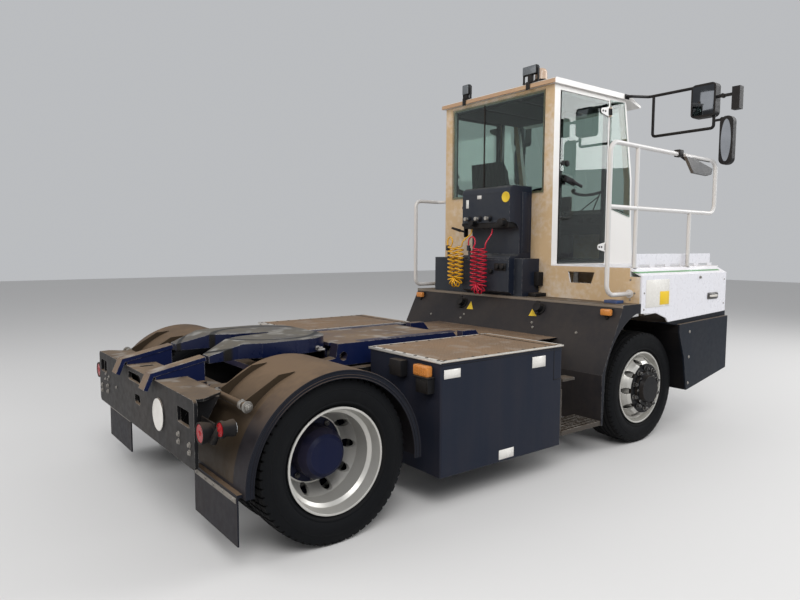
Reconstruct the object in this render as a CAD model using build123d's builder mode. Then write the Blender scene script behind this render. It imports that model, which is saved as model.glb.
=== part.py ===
from build123d import *
import os
from math import cos, radians, sin, sqrt

os.makedirs("parts", exist_ok=True)

# Terminal tractor, in millimetres. X runs forward, Y to the left and Z up from the ground.
# The origin is on the ground at the middle of the vehicle's box.

# Driving sizes of the whole vehicle
wheelbase = 3010.0
rear_overhang = 785.0
front_overhang = 1250.0
body_half_width = 1250.0
mirror_half_width = 1330.0
rear_axle_x = (rear_overhang - wheelbase - front_overhang) / 2
front_axle_x = rear_axle_x + wheelbase
nose_x = front_axle_x + front_overhang
tail_x = rear_axle_x - rear_overhang

# Tyres 295/60 R22.5 on 22.5 inch rims
tyre_radius = 463.0
tyre_width = 292.0
rim_seat_radius = 285.7
rim_width = 254.0
wheel_z = tyre_radius
rear_outer_tyre_y = 1078.0
twin_spacing = 333.0
rear_inner_tyre_y = rear_outer_tyre_y - twin_spacing
front_tyre_y = 1018.0
disc_offset = 165.0
disc_thickness = 14.0
fit_gap = 0.3
running_gap = 6.0

# Chassis rails
rail_outer_y = 465.0
rail_width = 80.0
rail_inner_y = rail_outer_y - rail_width
rail_bottom_z = 550.0
rail_top_z = 790.0
rail_web = 12.0
rear_plate_x = rear_axle_x - 698.0
rear_plate_thickness = 20.0
rail_front_x = nose_x - 110.0

# Lift frame and its cylinders
lift_pivot_x = rear_axle_x + 1600.0
lift_pivot_z = 858.0
lift_pin_radius = 32.0
lift_beam_outer_y = 370.0
lift_beam_width = 90.0
lift_beam_top_z = 955.0
lift_beam_bottom_z = 800.0
coupling_bay_z = 850.0
ram_y = 235.0
ram_base_x = rear_axle_x + 610.0
ram_base_z = 300.0
ram_eye_x = rear_axle_x + 575.0
ram_eye_z = 866.0
ram_pin_radius = 22.0

# Fifth wheel
coupling_top_z = 1023.0
kingpin_x = rear_axle_x + 163.0
coupling_pivot_x = rear_axle_x + 150.0
coupling_pivot_z = 900.0
coupling_front_x = rear_axle_x + 480.0
coupling_horn_x = rear_axle_x - 180.0
coupling_tip_x = rear_axle_x - 375.0
coupling_tip_drop = 65.0
coupling_half_width = 450.0
coupling_plate = 16.0
coupling_skirt = 92.0
kingpin_radius = 26.0
coupling_pin_radius = 25.0

# Battery boxes between the axles
box_rear_x = rear_axle_x + 701.0
box_front_x = rear_axle_x + 1850.0
box_inner_y = 494.0
box_bottom_z = 219.0
deck_z = 938.0

# Slanted bulkhead ahead of the boxes
ledge_z = 1154.0
ledge_thickness = 25.0
ledge_x = rear_axle_x + 2560.0
bulkhead_knee_x = rear_axle_x + 2314.0
bulkhead_knee_z = 660.0
bulkhead_foot_x = rear_axle_x + 2320.0
bulkhead_foot_z = 274.0

# Front body, walkway and cab
wall_x = rear_axle_x + 2803.0
floor_z = 1460.0
walkway_y = 1145.0
body_side_top_z = 1403.0
locker_top_z = 971.0
locker_rear_x = rear_axle_x + 3403.0
locker_front_x = nose_x - 16.0
cab_right_y = -345.0
cab_left_y = 1085.0
cab_top_z = 3063.0
cab_roof_z = 3113.0
door_rear_x = rear_axle_x + 2884.0
door_front_x = rear_axle_x + 3600.0
door_bottom_z = 1474.0
door_top_z = 3020.0
door_thickness = 45.0
windscreen_foot_x = rear_axle_x + 4081.0
windscreen_knee_x = rear_axle_x + 4021.0
windscreen_knee_z = 2302.0
windscreen_head_x = rear_axle_x + 3882.0
windscreen_sill_z = 1933.0
cab_wall = 50.0
glass_thickness = 6.0

# Steering
kingpin_y = 950.0
tie_rod_x = front_axle_x - 165.0
tie_rod_y = kingpin_y
tie_rod_z = 391.0
tie_rod_radius = 16.0

both_sides = (("right", -1), ("left", 1))


def side_plane(y):
    """Upright plane along the vehicle; its sketch axes are X and Z, and it faces right."""
    return Plane.XZ.offset(-y)


def cross_plane(x):
    """Upright plane across the vehicle; its sketch axes are Y and Z, and it faces forward."""
    return Plane.YZ.offset(x)


def level(z):
    """Level plane; its sketch axes are X and Y, and it faces up."""
    return Plane.XY.offset(z)


def block(x, y, z, mode=Mode.ADD):
    """Box between the two ends that are given along each axis."""
    with Locations((sum(x) / 2, sum(y) / 2, sum(z) / 2)):
        Box(abs(x[1] - x[0]), abs(y[1] - y[0]), abs(z[1] - z[0]), mode=mode)


def side_prism(outline, y, mode=Mode.ADD):
    """Outline of (x, z) points, extruded between two values of Y."""
    with BuildSketch(side_plane(max(y))) as face:
        Polygon(*outline, align=None)
    extrude(face.sketch, amount=abs(y[1] - y[0]), mode=mode)


def cross_prism(outline, x, mode=Mode.ADD):
    """Outline of (y, z) points, extruded between two values of X."""
    with BuildSketch(cross_plane(min(x))) as face:
        Polygon(*outline, align=None)
    extrude(face.sketch, amount=abs(x[1] - x[0]), mode=mode)


def plan_prism(outline, z, mode=Mode.ADD):
    """Outline of (x, y) points, extruded between two heights."""
    with BuildSketch(level(min(z))) as face:
        Polygon(*outline, align=None)
    extrude(face.sketch, amount=abs(z[1] - z[0]), mode=mode)


def cross_rod(x, z, radius, y, mode=Mode.ADD):
    """Round bar along Y, between two values of Y."""
    with BuildSketch(side_plane(max(y))) as face:
        with Locations((x, z)):
            Circle(radius)
    extrude(face.sketch, amount=abs(y[1] - y[0]), mode=mode)


def upright_rod(x, y, radius, z, mode=Mode.ADD):
    """Round bar along Z, between two heights."""
    with BuildSketch(level(min(z))) as face:
        with Locations((x, y)):
            Circle(radius)
    extrude(face.sketch, amount=abs(z[1] - z[0]), mode=mode)


def long_rod(y, z, radius, x, mode=Mode.ADD):
    """Round bar along X, between two values of X."""
    with BuildSketch(cross_plane(min(x))) as face:
        with Locations((y, z)):
            Circle(radius)
    extrude(face.sketch, amount=abs(x[1] - x[0]), mode=mode)


def bent_tube(points, bend, radius):
    """Round tube whose straight runs are joined by arcs of one bend radius."""
    with BuildLine() as path:
        FilletPolyline(*points, radius=bend)
    start = path.line @ 0
    with BuildSketch(Plane(origin=start, z_dir=path.line % 0)) as section:
        Circle(radius)
    sweep(section.sketch, path=path.line)


def save(piece, label):
    """Name one finished piece and write it out."""
    piece.part.label = label
    export_step(piece.part, f"parts/{label}.step")


# Chassis: two channel rails, open towards the middle, with cross members between them
rail_rear_x = rear_plate_x + rear_plate_thickness
rail_profile = [
    (rail_rear_x, rail_top_z), (rail_front_x, rail_top_z), (rail_front_x, rail_bottom_z + 60),
    (front_axle_x + 620, rail_bottom_z), (rear_axle_x - 340, rail_bottom_z),
    (rail_rear_x, rail_bottom_z + 50),
]
cross_member_height = 150.0
cross_member_width = 80.0
cross_member_x = [rear_axle_x + x for x in (-600, -330, 330, 900, 1760, 2200, 3550, 4040)]
hanger_thickness = 16.0
hanger_y = 330.0
hanger_half_length = 60.0
pivot_bracket_height = 62.0

rail_pocket = [
    (rail_rear_x - 1, rail_top_z - rail_web), (rail_front_x + 1, rail_top_z - rail_web),
    (rail_front_x + 1, rail_bottom_z + 60 + rail_web), (front_axle_x + 620, rail_bottom_z + rail_web),
    (rear_axle_x - 340, rail_bottom_z + rail_web), (rail_rear_x - 1, rail_bottom_z + 50 + rail_web),
]
# Hanger plate that carries the foot of the lift cylinder below the rail
hanger_outline = [
    (ram_base_x - hanger_half_length, rail_top_z - rail_web),
    (ram_base_x + hanger_half_length, rail_top_z - rail_web),
    (ram_base_x + hanger_half_length, ram_base_z), (ram_base_x + hanger_half_length / 2, ram_base_z - 50),
    (ram_base_x - hanger_half_length / 2, ram_base_z - 50), (ram_base_x - hanger_half_length, ram_base_z),
]
# Bracket of the lift frame's front pivot
pivot_outline = [
    (lift_pivot_x - 130, rail_top_z), (lift_pivot_x - 55, lift_pivot_z + pivot_bracket_height),
    (lift_pivot_x + 55, lift_pivot_z + pivot_bracket_height), (lift_pivot_x + 130, rail_top_z),
]
for side, s in both_sides:
    with BuildPart() as chassis_rail:
        side_prism(rail_profile, (s * rail_inner_y, s * rail_outer_y))
        side_prism(rail_pocket, (s * (rail_inner_y - 1), s * (rail_outer_y - rail_web)), Mode.SUBTRACT)
        side_prism(hanger_outline, (s * hanger_y, s * (hanger_y + hanger_thickness)))
        block((ram_base_x - hanger_half_length, ram_base_x + hanger_half_length),
              (s * hanger_y, s * (rail_outer_y - rail_web)), (rail_bottom_z, rail_bottom_z + rail_web))
        side_prism(pivot_outline, (s * rail_inner_y, s * (rail_inner_y + 30)))
        cross_rod(lift_pivot_x, lift_pivot_z, lift_pin_radius,
                  (s * (lift_beam_outer_y - lift_beam_width), s * (rail_inner_y + 10)))
    save(chassis_rail, f"chassis_rail_{side}")

# Cross members between the rails' webs, and the long pin that both lift cylinders stand on
with BuildPart() as cross_members:
    cross_member_reach = rail_outer_y - rail_web - fit_gap
    cross_member_top_z = rail_top_z - rail_web - fit_gap
    for x in cross_member_x:
        block((x - cross_member_width / 2, x + cross_member_width / 2),
              (-cross_member_reach, cross_member_reach),
              (cross_member_top_z - cross_member_height, cross_member_top_z))
    cross_rod(ram_base_x, ram_base_z, ram_pin_radius, (-hanger_y + fit_gap, hanger_y - fit_gap))
save(cross_members, "cross_members")

# Rear end plate with its openings, its top flange and the gussets to the rails
plate_half_width = 974.0
plate_bottom_z = 490.0
plate_top_z = 852.0
flange_length = 190.0
flange_thickness = 14.0
# Each opening: lowest y, highest y, lowest z, highest z, corner radius
plate_openings = [
    (770, 930, 715, 800, 12), (-914, -724, 696, 782, 12), (-55, 205, 770, 825, 20), (-45, 75, 640, 700, 25),
]
disc_y = -410.0
disc_z = 665.0
disc_radius = 95.0
with BuildPart() as rear_plate:
    with BuildSketch(cross_plane(rear_plate_x)) as plate_face:
        with Locations((0, (plate_bottom_z + plate_top_z) / 2)):
            RectangleRounded(2 * plate_half_width, plate_top_z - plate_bottom_z, 30)
        for y0, y1, z0, z1, r in plate_openings:
            with Locations(((y0 + y1) / 2, (z0 + z1) / 2)):
                RectangleRounded(y1 - y0, z1 - z0, r, mode=Mode.SUBTRACT)
    extrude(amount=rear_plate_thickness - fit_gap)
    flange_rear = rear_plate_x + rear_plate_thickness / 2
    flange = [(flange_rear, -plate_half_width + 30), (flange_rear, plate_half_width - 30),
              (rear_plate_x + 60, plate_half_width - 20),
              (rear_plate_x + flange_length, plate_half_width - 120),
              (rear_plate_x + flange_length, -plate_half_width + 120),
              (rear_plate_x + 60, -plate_half_width + 20)]
    plan_prism(flange, (plate_top_z - flange_thickness, plate_top_z))
    with BuildSketch(level(plate_top_z - flange_thickness)):
        with Locations((rear_plate_x + 100, 146), (rear_plate_x + 100, -146)):
            SlotOverall(90, 40)
    extrude(amount=flange_thickness, mode=Mode.SUBTRACT)
    for y in (-880, -600, 600, 880):
        gusset = [(flange_rear, plate_top_z - flange_thickness),
                  (rear_plate_x + flange_length - 20, plate_top_z - flange_thickness),
                  (flange_rear, plate_bottom_z + 60)]
        side_prism(gusset, (y - 6, y + 6))
    long_rod(disc_y, disc_z, disc_radius, (rear_plate_x - 6, rear_plate_x + 2))
save(rear_plate, "rear_plate")

# Two ramp bars that guide a trailer's plate onto the coupling; each hooks over the rear plate
ramp_inner_y = 250.0
ramp_outer_y = 350.0
ramp_thickness = 26.0
ramp_head = (coupling_tip_x - 22, coupling_top_z - coupling_tip_drop)
ramp_bend = (rear_plate_x - 24, 892.0)
ramp_toe = (tail_x + 22, 800.0)
with BuildPart() as ramps:
    for side, s in both_sides:
        with BuildSketch(side_plane(s * ramp_inner_y if s < 0 else s * ramp_outer_y)):
            with BuildLine():
                top = Polyline(ramp_head, ramp_bend, ramp_toe)
                offset(top, amount=ramp_thickness, side=Side.LEFT, kind=Kind.INTERSECTION, closed=True)
            make_face()
        extrude(amount=ramp_outer_y - ramp_inner_y)
        # Web plate from the bar down to the top flange and the rail
        web = [(ramp_head[0] - 4, ramp_head[1] - 20), (ramp_bend[0] + 30, ramp_bend[1] - 14),
               (rear_plate_x + 6, plate_top_z + fit_gap),
               (rear_plate_x + flange_length + 1, plate_top_z + fit_gap),
               (rear_plate_x + flange_length + 1, rail_top_z + fit_gap),
               (ramp_head[0] - 4, rail_top_z + fit_gap)]
        for y in (ramp_inner_y + 12, ramp_outer_y - 12):
            side_prism(web, (s * (y - 8), s * (y + 8)))
        block((rear_plate_x + flange_length + 1, ramp_head[0] - 4),
              (s * ramp_inner_y, s * (rail_inner_y + 40)),
              (rail_top_z + fit_gap, rail_top_z + 14))
save(ramps, "ramps")

# Rear axle: driven beam with its final drive, bolted under the rails by seats
axle_tube_radius = 72.0
rear_spindle_radius = 60.0
rear_hub_root_y = 690.0
rear_spindle_end_y = 1040.0
drive_radius = 185.0
with BuildPart() as rear_axle:
    cross_rod(rear_axle_x, wheel_z, axle_tube_radius, (-rear_hub_root_y, rear_hub_root_y))
    cross_rod(rear_axle_x, wheel_z, rear_spindle_radius, (-rear_spindle_end_y, rear_spindle_end_y))
    with BuildSketch(side_plane(0)):
        with Locations((rear_axle_x + 20, wheel_z)):
            Circle(drive_radius)
    extrude(amount=120, both=True, taper=18)
    long_rod(0, wheel_z, 85, (rear_axle_x + 100, rear_axle_x + 300))
    for side, s in both_sides:
        seat_top = rail_bottom_z - fit_gap
        seat = [(rear_axle_x - 150, seat_top), (rear_axle_x + 150, seat_top),
                (rear_axle_x + 80, wheel_z - 40),
                (rear_axle_x - 80, wheel_z - 40)]
        side_prism(seat, (s * (rail_inner_y + 5), s * (rail_outer_y - 5)))
        cross_rod(rear_axle_x, wheel_z, 175, (s * (rear_hub_root_y - 14), s * rear_hub_root_y))
save(rear_axle, "rear_axle")


hub_bore = 140.5
hand_hole_circle = 222.0
hand_hole_radius = 27.0
hand_hole_count = 10
hub_radius = 146.0
rear_hub_end_y = 1092.0
front_hub_end_y = 1232.0
drum_radius = 205.0
spindle_gap = 0.5
front_spindle_radius = 42.0
front_spindle_end_y = 1196.0
rear_disc_y = rear_outer_tyre_y - disc_offset
front_disc_y = front_tyre_y + disc_offset


def tyre_ring(axle_x, centre_y):
    """One smooth tyre: a crowned tread, rounded shoulders, bulged walls, and beads on the rim seat."""
    wall_y = tyre_width / 2
    tread_y = wall_y - 20
    bead_y = rim_width / 2 - 16
    bead_r = rim_seat_radius + fit_gap
    with BuildSketch(cross_plane(axle_x)) as section:
        with BuildLine():
            ThreePointArc((centre_y - tread_y, wheel_z + tyre_radius - 7),
                          (centre_y, wheel_z + tyre_radius),
                          (centre_y + tread_y, wheel_z + tyre_radius - 7))
            for s in (-1, 1):
                Line((centre_y + s * tread_y, wheel_z + tyre_radius - 7),
                     (centre_y + s * (wall_y - 6), wheel_z + tyre_radius - 40))
                ThreePointArc((centre_y + s * (wall_y - 6), wheel_z + tyre_radius - 40),
                              (centre_y + s * wall_y, wheel_z + tyre_radius - 88),
                              (centre_y + s * bead_y, wheel_z + bead_r + 14))
                Line((centre_y + s * bead_y, wheel_z + bead_r + 14),
                     (centre_y + s * bead_y, wheel_z + bead_r))
            Line((centre_y - bead_y, wheel_z + bead_r), (centre_y + bead_y, wheel_z + bead_r))
        make_face()
    revolve(section.sketch, axis=Axis((axle_x, 0, wheel_z), (0, 1, 0)))


def rim_ring(axle_x, centre_y, disc_side):
    """One disc wheel; disc_side is the direction in Y in which its disc stands out of the middle."""
    half = rim_width / 2
    flange_r = rim_seat_radius + 12.5
    well_r = rim_seat_radius - 24
    disc_face = disc_offset
    # Columns: distance from the middle towards the disc, radius
    profile = [
        (-half, flange_r), (-half + 8, flange_r), (-half + 14, rim_seat_radius), (-60, rim_seat_radius - 3),
        (-44, well_r), (52, well_r), (68, rim_seat_radius - 3), (half - 14, rim_seat_radius),
        (half - 8, flange_r), (half, flange_r), (half, flange_r - 12), (80, rim_seat_radius - 13),
        (82, well_r - 4),
        (disc_face - 20, 226), (disc_face, 204), (disc_face, hub_bore),
        (disc_face - disc_thickness, hub_bore),
        (disc_face - disc_thickness, 198), (disc_face - 36, 216), (64, well_r - 10), (-46, well_r - 10),
        (-62, rim_seat_radius - 13), (-half, flange_r - 12),
    ]
    with BuildSketch(cross_plane(axle_x)) as section:
        Polygon(*[(centre_y + disc_side * s, wheel_z + r) for s, r in profile], align=None)
    revolve(section.sketch, axis=Axis((axle_x, 0, wheel_z), (0, 1, 0)))
    hole_plane = Plane(origin=(axle_x, centre_y, wheel_z), x_dir=(1, 0, 0), z_dir=(0, disc_side, 0))
    with BuildSketch(hole_plane) as holes:
        with PolarLocations(hand_hole_circle, hand_hole_count):
            Circle(hand_hole_radius)
    extrude(holes.sketch, amount=disc_offset, mode=Mode.SUBTRACT)


for side, s in both_sides:
    with BuildPart() as twin_rims:
        rim_ring(rear_axle_x, s * rear_outer_tyre_y, -s)
        rim_ring(rear_axle_x, s * rear_inner_tyre_y, s)
        # Hub that both discs sit on, with its brake drum, bored for the axle's end
        with BuildSketch(cross_plane(rear_axle_x)):
            hub = [(rear_hub_root_y + 16, drum_radius), (rear_disc_y - disc_thickness - 4, drum_radius),
                   (rear_disc_y - disc_thickness - 4, 196),
                   (rear_disc_y, 180), (rear_disc_y, hub_radius), (rear_hub_end_y - 60, hub_radius),
                   (rear_hub_end_y - 12, 120), (rear_hub_end_y, 100), (rear_hub_end_y, 0),
                   (rear_spindle_end_y + 3, 0),
                   (rear_spindle_end_y + 3, rear_spindle_radius + spindle_gap),
                   (rear_hub_root_y + 60, rear_spindle_radius + spindle_gap),
                   (rear_hub_root_y + 60, drum_radius - 16), (rear_hub_root_y + 16, drum_radius - 16)]
            Polygon(*[(s * y, wheel_z + r) for y, r in hub], align=None)
        revolve(axis=Axis((rear_axle_x, 0, wheel_z), (0, 1, 0)))
    save(twin_rims, f"rims_rear_{side}")

    with BuildPart() as twin_tyres:
        tyre_ring(rear_axle_x, s * rear_outer_tyre_y)
        tyre_ring(rear_axle_x, s * rear_inner_tyre_y)
    save(twin_tyres, f"tyres_rear_{side}")

    with BuildPart() as front_rim:
        rim_ring(front_axle_x, s * front_tyre_y, s)
        with BuildSketch(cross_plane(front_axle_x)):
            drum_y = kingpin_y + 62
            hub = [(drum_y, drum_radius), (front_disc_y - disc_thickness - 2, drum_radius),
                   (front_disc_y - disc_thickness, 190),
                   (front_disc_y - disc_thickness + 2, hub_radius), (front_hub_end_y - 30, hub_radius - 6),
                   (front_hub_end_y - 30, 118),
                   (front_hub_end_y, 104), (front_hub_end_y, 0), (front_spindle_end_y + 3, 0),
                   (front_spindle_end_y + 3, front_spindle_radius + spindle_gap),
                   (drum_y + 50, front_spindle_radius + spindle_gap),
                   (drum_y + 50, drum_radius - 16), (drum_y, drum_radius - 16)]
            Polygon(*[(s * y, wheel_z + r) for y, r in hub], align=None)
        revolve(axis=Axis((front_axle_x, 0, wheel_z), (0, 1, 0)))
    save(front_rim, f"rim_front_{side}")

    with BuildPart() as front_tyre:
        tyre_ring(front_axle_x, s * front_tyre_y)
    save(front_tyre, f"tyre_front_{side}")

# Front axle: dropped beam with an eye for each kingpin, under two leaf springs
beam_z = 370.0
beam_height = 84.0
beam_width = 90.0
beam_end_y = kingpin_y - 190
eye_radius = 46.0
eye_root_y = kingpin_y - eye_radius + 1
eye_half_height = 58.0
kingpin_pin_radius = 24.0
spring_y = (rail_inner_y + 5, rail_outer_y - 5)
spring_half_length = 560.0
with BuildPart() as front_axle:
    beam_outline = [
        (-eye_root_y, wheel_z + eye_half_height), (-eye_root_y, wheel_z - eye_half_height),
        (-beam_end_y, beam_z - beam_height / 2),
        (beam_end_y, beam_z - beam_height / 2), (eye_root_y, wheel_z - eye_half_height),
        (eye_root_y, wheel_z + eye_half_height),
        (beam_end_y - 60, beam_z + beam_height / 2), (-beam_end_y + 60, beam_z + beam_height / 2),
    ]
    cross_prism(beam_outline, (front_axle_x - beam_width / 2, front_axle_x + beam_width / 2))
    for side, s in both_sides:
        upright_rod(front_axle_x, s * kingpin_y, eye_radius,
                    (wheel_z - eye_half_height, wheel_z + eye_half_height))
        upright_rod(front_axle_x, s * kingpin_y, kingpin_pin_radius + fit_gap,
                    (wheel_z - eye_half_height - 1, wheel_z + eye_half_height + 1), Mode.SUBTRACT)
        # Leaf spring: arched pack on the beam, with an eye at each end under the rail
        spring_low = beam_z + beam_height / 2
        spring_end_z = rail_bottom_z - 40
        with BuildSketch(side_plane(max(s * spring_y[0], s * spring_y[1]))):
            with BuildLine():
                ThreePointArc((front_axle_x - spring_half_length, spring_end_z),
                              (front_axle_x, spring_low + 2),
                              (front_axle_x + spring_half_length, spring_end_z))
                Line((front_axle_x + spring_half_length, spring_end_z),
                     (front_axle_x + spring_half_length, spring_end_z + 16))
                ThreePointArc((front_axle_x + spring_half_length, spring_end_z + 16),
                              (front_axle_x, spring_low + 52),
                              (front_axle_x - spring_half_length, spring_end_z + 16))
                Line((front_axle_x - spring_half_length, spring_end_z + 16),
                     (front_axle_x - spring_half_length, spring_end_z))
            make_face()
        extrude(amount=spring_y[1] - spring_y[0])
        block((front_axle_x - 70, front_axle_x + 70), (s * (spring_y[0] - 8), s * (spring_y[1] + 8)),
              (spring_low - 4, spring_low + 8))
        block((front_axle_x - 70, front_axle_x + 70), (s * (spring_y[0] - 8), s * (spring_y[1] + 8)),
              (spring_low + 48, spring_low + 62))
        for x in (front_axle_x - spring_half_length, front_axle_x + spring_half_length):
            cross_rod(x, spring_end_z + 10, 26, (s * spring_y[0], s * spring_y[1]))
            block((x - 22, x + 22), (s * (spring_y[0] + 4), s * (spring_y[1] - 4)),
                  (spring_end_z + 10, rail_bottom_z - fit_gap))
save(front_axle, "front_axle")

# Steering knuckles: fork on the kingpin, spindle for the hub, and an arm back to the tie rod
fork_thickness = 34.0
fork_gap = 2.0
arm_thickness = 26.0
ball_radius = 20.0
for side, s in both_sides:
    with BuildPart() as knuckle:
        fork_low = wheel_z - eye_half_height - fork_gap - fork_thickness
        fork_high = wheel_z + eye_half_height + fork_gap + fork_thickness
        upright_rod(front_axle_x, s * kingpin_y, kingpin_pin_radius, (fork_low, fork_high))
        for z in (fork_low, fork_high - fork_thickness):
            upright_rod(front_axle_x, s * kingpin_y, 42, (z, z + fork_thickness))
            block((front_axle_x - 42, front_axle_x + 42), (s * kingpin_y, s * (kingpin_y + 62)),
                  (z, z + fork_thickness))
        back_y = kingpin_y + 50
        block((front_axle_x - 60, front_axle_x + 60), (s * back_y, s * (back_y + 12)),
              (fork_low, fork_high))
        cross_rod(front_axle_x, wheel_z, 170, (s * (back_y - 2), s * (back_y + 6)))
        cross_rod(front_axle_x, wheel_z, front_spindle_radius, (s * back_y, s * front_spindle_end_y))
        arm = [(front_axle_x + 30, s * (kingpin_y + 30)), (front_axle_x + 30, s * (kingpin_y - 30)),
               (tie_rod_x - 24, s * (tie_rod_y - 24)), (tie_rod_x - 24, s * (tie_rod_y + 24))]
        plan_prism(arm, (fork_low - arm_thickness + 6, fork_low + 6))
        upright_rod(tie_rod_x, s * tie_rod_y, 14, (fork_low - 10, tie_rod_z + 20))
    save(knuckle, f"knuckle_{side}")

# Tie rod between the two arms
with BuildPart() as tie_rod:
    cross_rod(tie_rod_x, tie_rod_z, tie_rod_radius, (-tie_rod_y, tie_rod_y))
    for side, s in both_sides:
        upright_rod(tie_rod_x, s * tie_rod_y, 30, (tie_rod_z - 13, tie_rod_z + 13))
        upright_rod(tie_rod_x, s * tie_rod_y, 14 + fit_gap, (tie_rod_z - 20, tie_rod_z + 20), Mode.SUBTRACT)
save(tie_rod, "tie_rod")

# Traction motor, one plain block between the rails, and the shaft back to the rear axle
with BuildPart() as drive_motor:
    block((rear_axle_x + 980, rear_axle_x + 1520), (-175, 175), (400, 625))
    fillet(drive_motor.edges().filter_by(Axis.X), 60)
    long_rod(0, wheel_z, 42, (rear_axle_x + 300 + fit_gap, rear_axle_x + 980))
    block((rear_axle_x + 1700, rear_axle_x + 1780), (-260, 260),
          (600, rail_top_z - rail_web - cross_member_height - fit_gap))
    block((rear_axle_x + 1500, rear_axle_x + 1780), (-120, 120), (560, 605))
save(drive_motor, "drive_motor")

# Lift frame: two box beams on the front pivot, a cover plate over them, and the coupling's seats
beam_low_z = lift_beam_bottom_z
beam_bay_z = coupling_bay_z
lift_beam_inner_y = lift_beam_outer_y - lift_beam_width
lift_beam_outline = [
    (lift_pivot_x + 55, lift_pivot_z - 30), (lift_pivot_x + 55, lift_pivot_z + 45),
    (lift_pivot_x, lift_beam_top_z),
    (coupling_front_x + 50, lift_beam_top_z), (coupling_front_x + 34, beam_bay_z + 8),
    (coupling_front_x - 10, beam_bay_z),
    (rear_axle_x - 90, beam_bay_z), (rear_axle_x - 110, beam_low_z + 12), (rear_axle_x + 300, beam_low_z),
    (lift_pivot_x - 10, beam_low_z),
]
clevis_inner_y = (ram_y - 45, ram_y - 30)
clevis_slack = 9.0
seat_radius = 36.0
seat_y = (lift_beam_inner_y + 8, lift_beam_outer_y - 14)
ear_y = (lift_beam_outer_y - 8, lift_beam_outer_y + 20)
with BuildPart() as lift_frame:
    for side, s in both_sides:
        side_prism(lift_beam_outline, (s * lift_beam_inner_y, s * lift_beam_outer_y))
        cross_rod(lift_pivot_x, lift_pivot_z, lift_pin_radius + fit_gap,
                  (s * (lift_beam_inner_y - 1), s * (lift_beam_outer_y + 1)), Mode.SUBTRACT)
    # Cover plate, and the cross pieces below it
    block((ram_eye_x + 90, lift_pivot_x - 70), (-lift_beam_inner_y, lift_beam_inner_y),
          (lift_beam_top_z - 12, lift_beam_top_z))
    block((lift_pivot_x - 240, lift_pivot_x - 180), (-lift_beam_inner_y, lift_beam_inner_y),
          (beam_low_z + 30, lift_beam_top_z))
    block((coupling_front_x + 30, ram_eye_x + 90), (-lift_beam_inner_y, lift_beam_inner_y),
          (lift_beam_top_z - 22, lift_beam_top_z))
    block((rear_axle_x - 60, rear_axle_x + 40), (-lift_beam_inner_y, lift_beam_inner_y),
          (beam_low_z + 12, beam_bay_z))
    for side, s in both_sides:
        # Inner cheek of the clevis that the lift cylinder's eye sits in
        cheek = [(ram_eye_x - 55, lift_beam_top_z - 20), (ram_eye_x - 40, ram_eye_z - 45),
                 (ram_eye_x + 40, ram_eye_z - 45),
                 (ram_eye_x + 55, lift_beam_top_z - 20)]
        side_prism(cheek, (s * clevis_inner_y[0], s * clevis_inner_y[1]))
        cross_rod(ram_eye_x, ram_eye_z, ram_pin_radius + clevis_slack,
                  (s * (clevis_inner_y[0] - 1), s * (lift_beam_outer_y + 1)), Mode.SUBTRACT)
        # Seat and pin that the coupling pitches on
        seat = [(coupling_pivot_x - 75, beam_bay_z - 2), (coupling_pivot_x - 30, coupling_pivot_z + 20),
                (coupling_pivot_x + 30, coupling_pivot_z + 20), (coupling_pivot_x + 75, beam_bay_z - 2)]
        side_prism(seat, (s * seat_y[0], s * seat_y[1]))
        cross_rod(coupling_pivot_x, coupling_pivot_z, seat_radius, (s * seat_y[0], s * seat_y[1]))
        cross_rod(coupling_pivot_x, coupling_pivot_z, coupling_pin_radius,
                  (s * (seat_y[0] + 4), s * (ear_y[1] + 10)))
save(lift_frame, "lift_frame")

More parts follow.
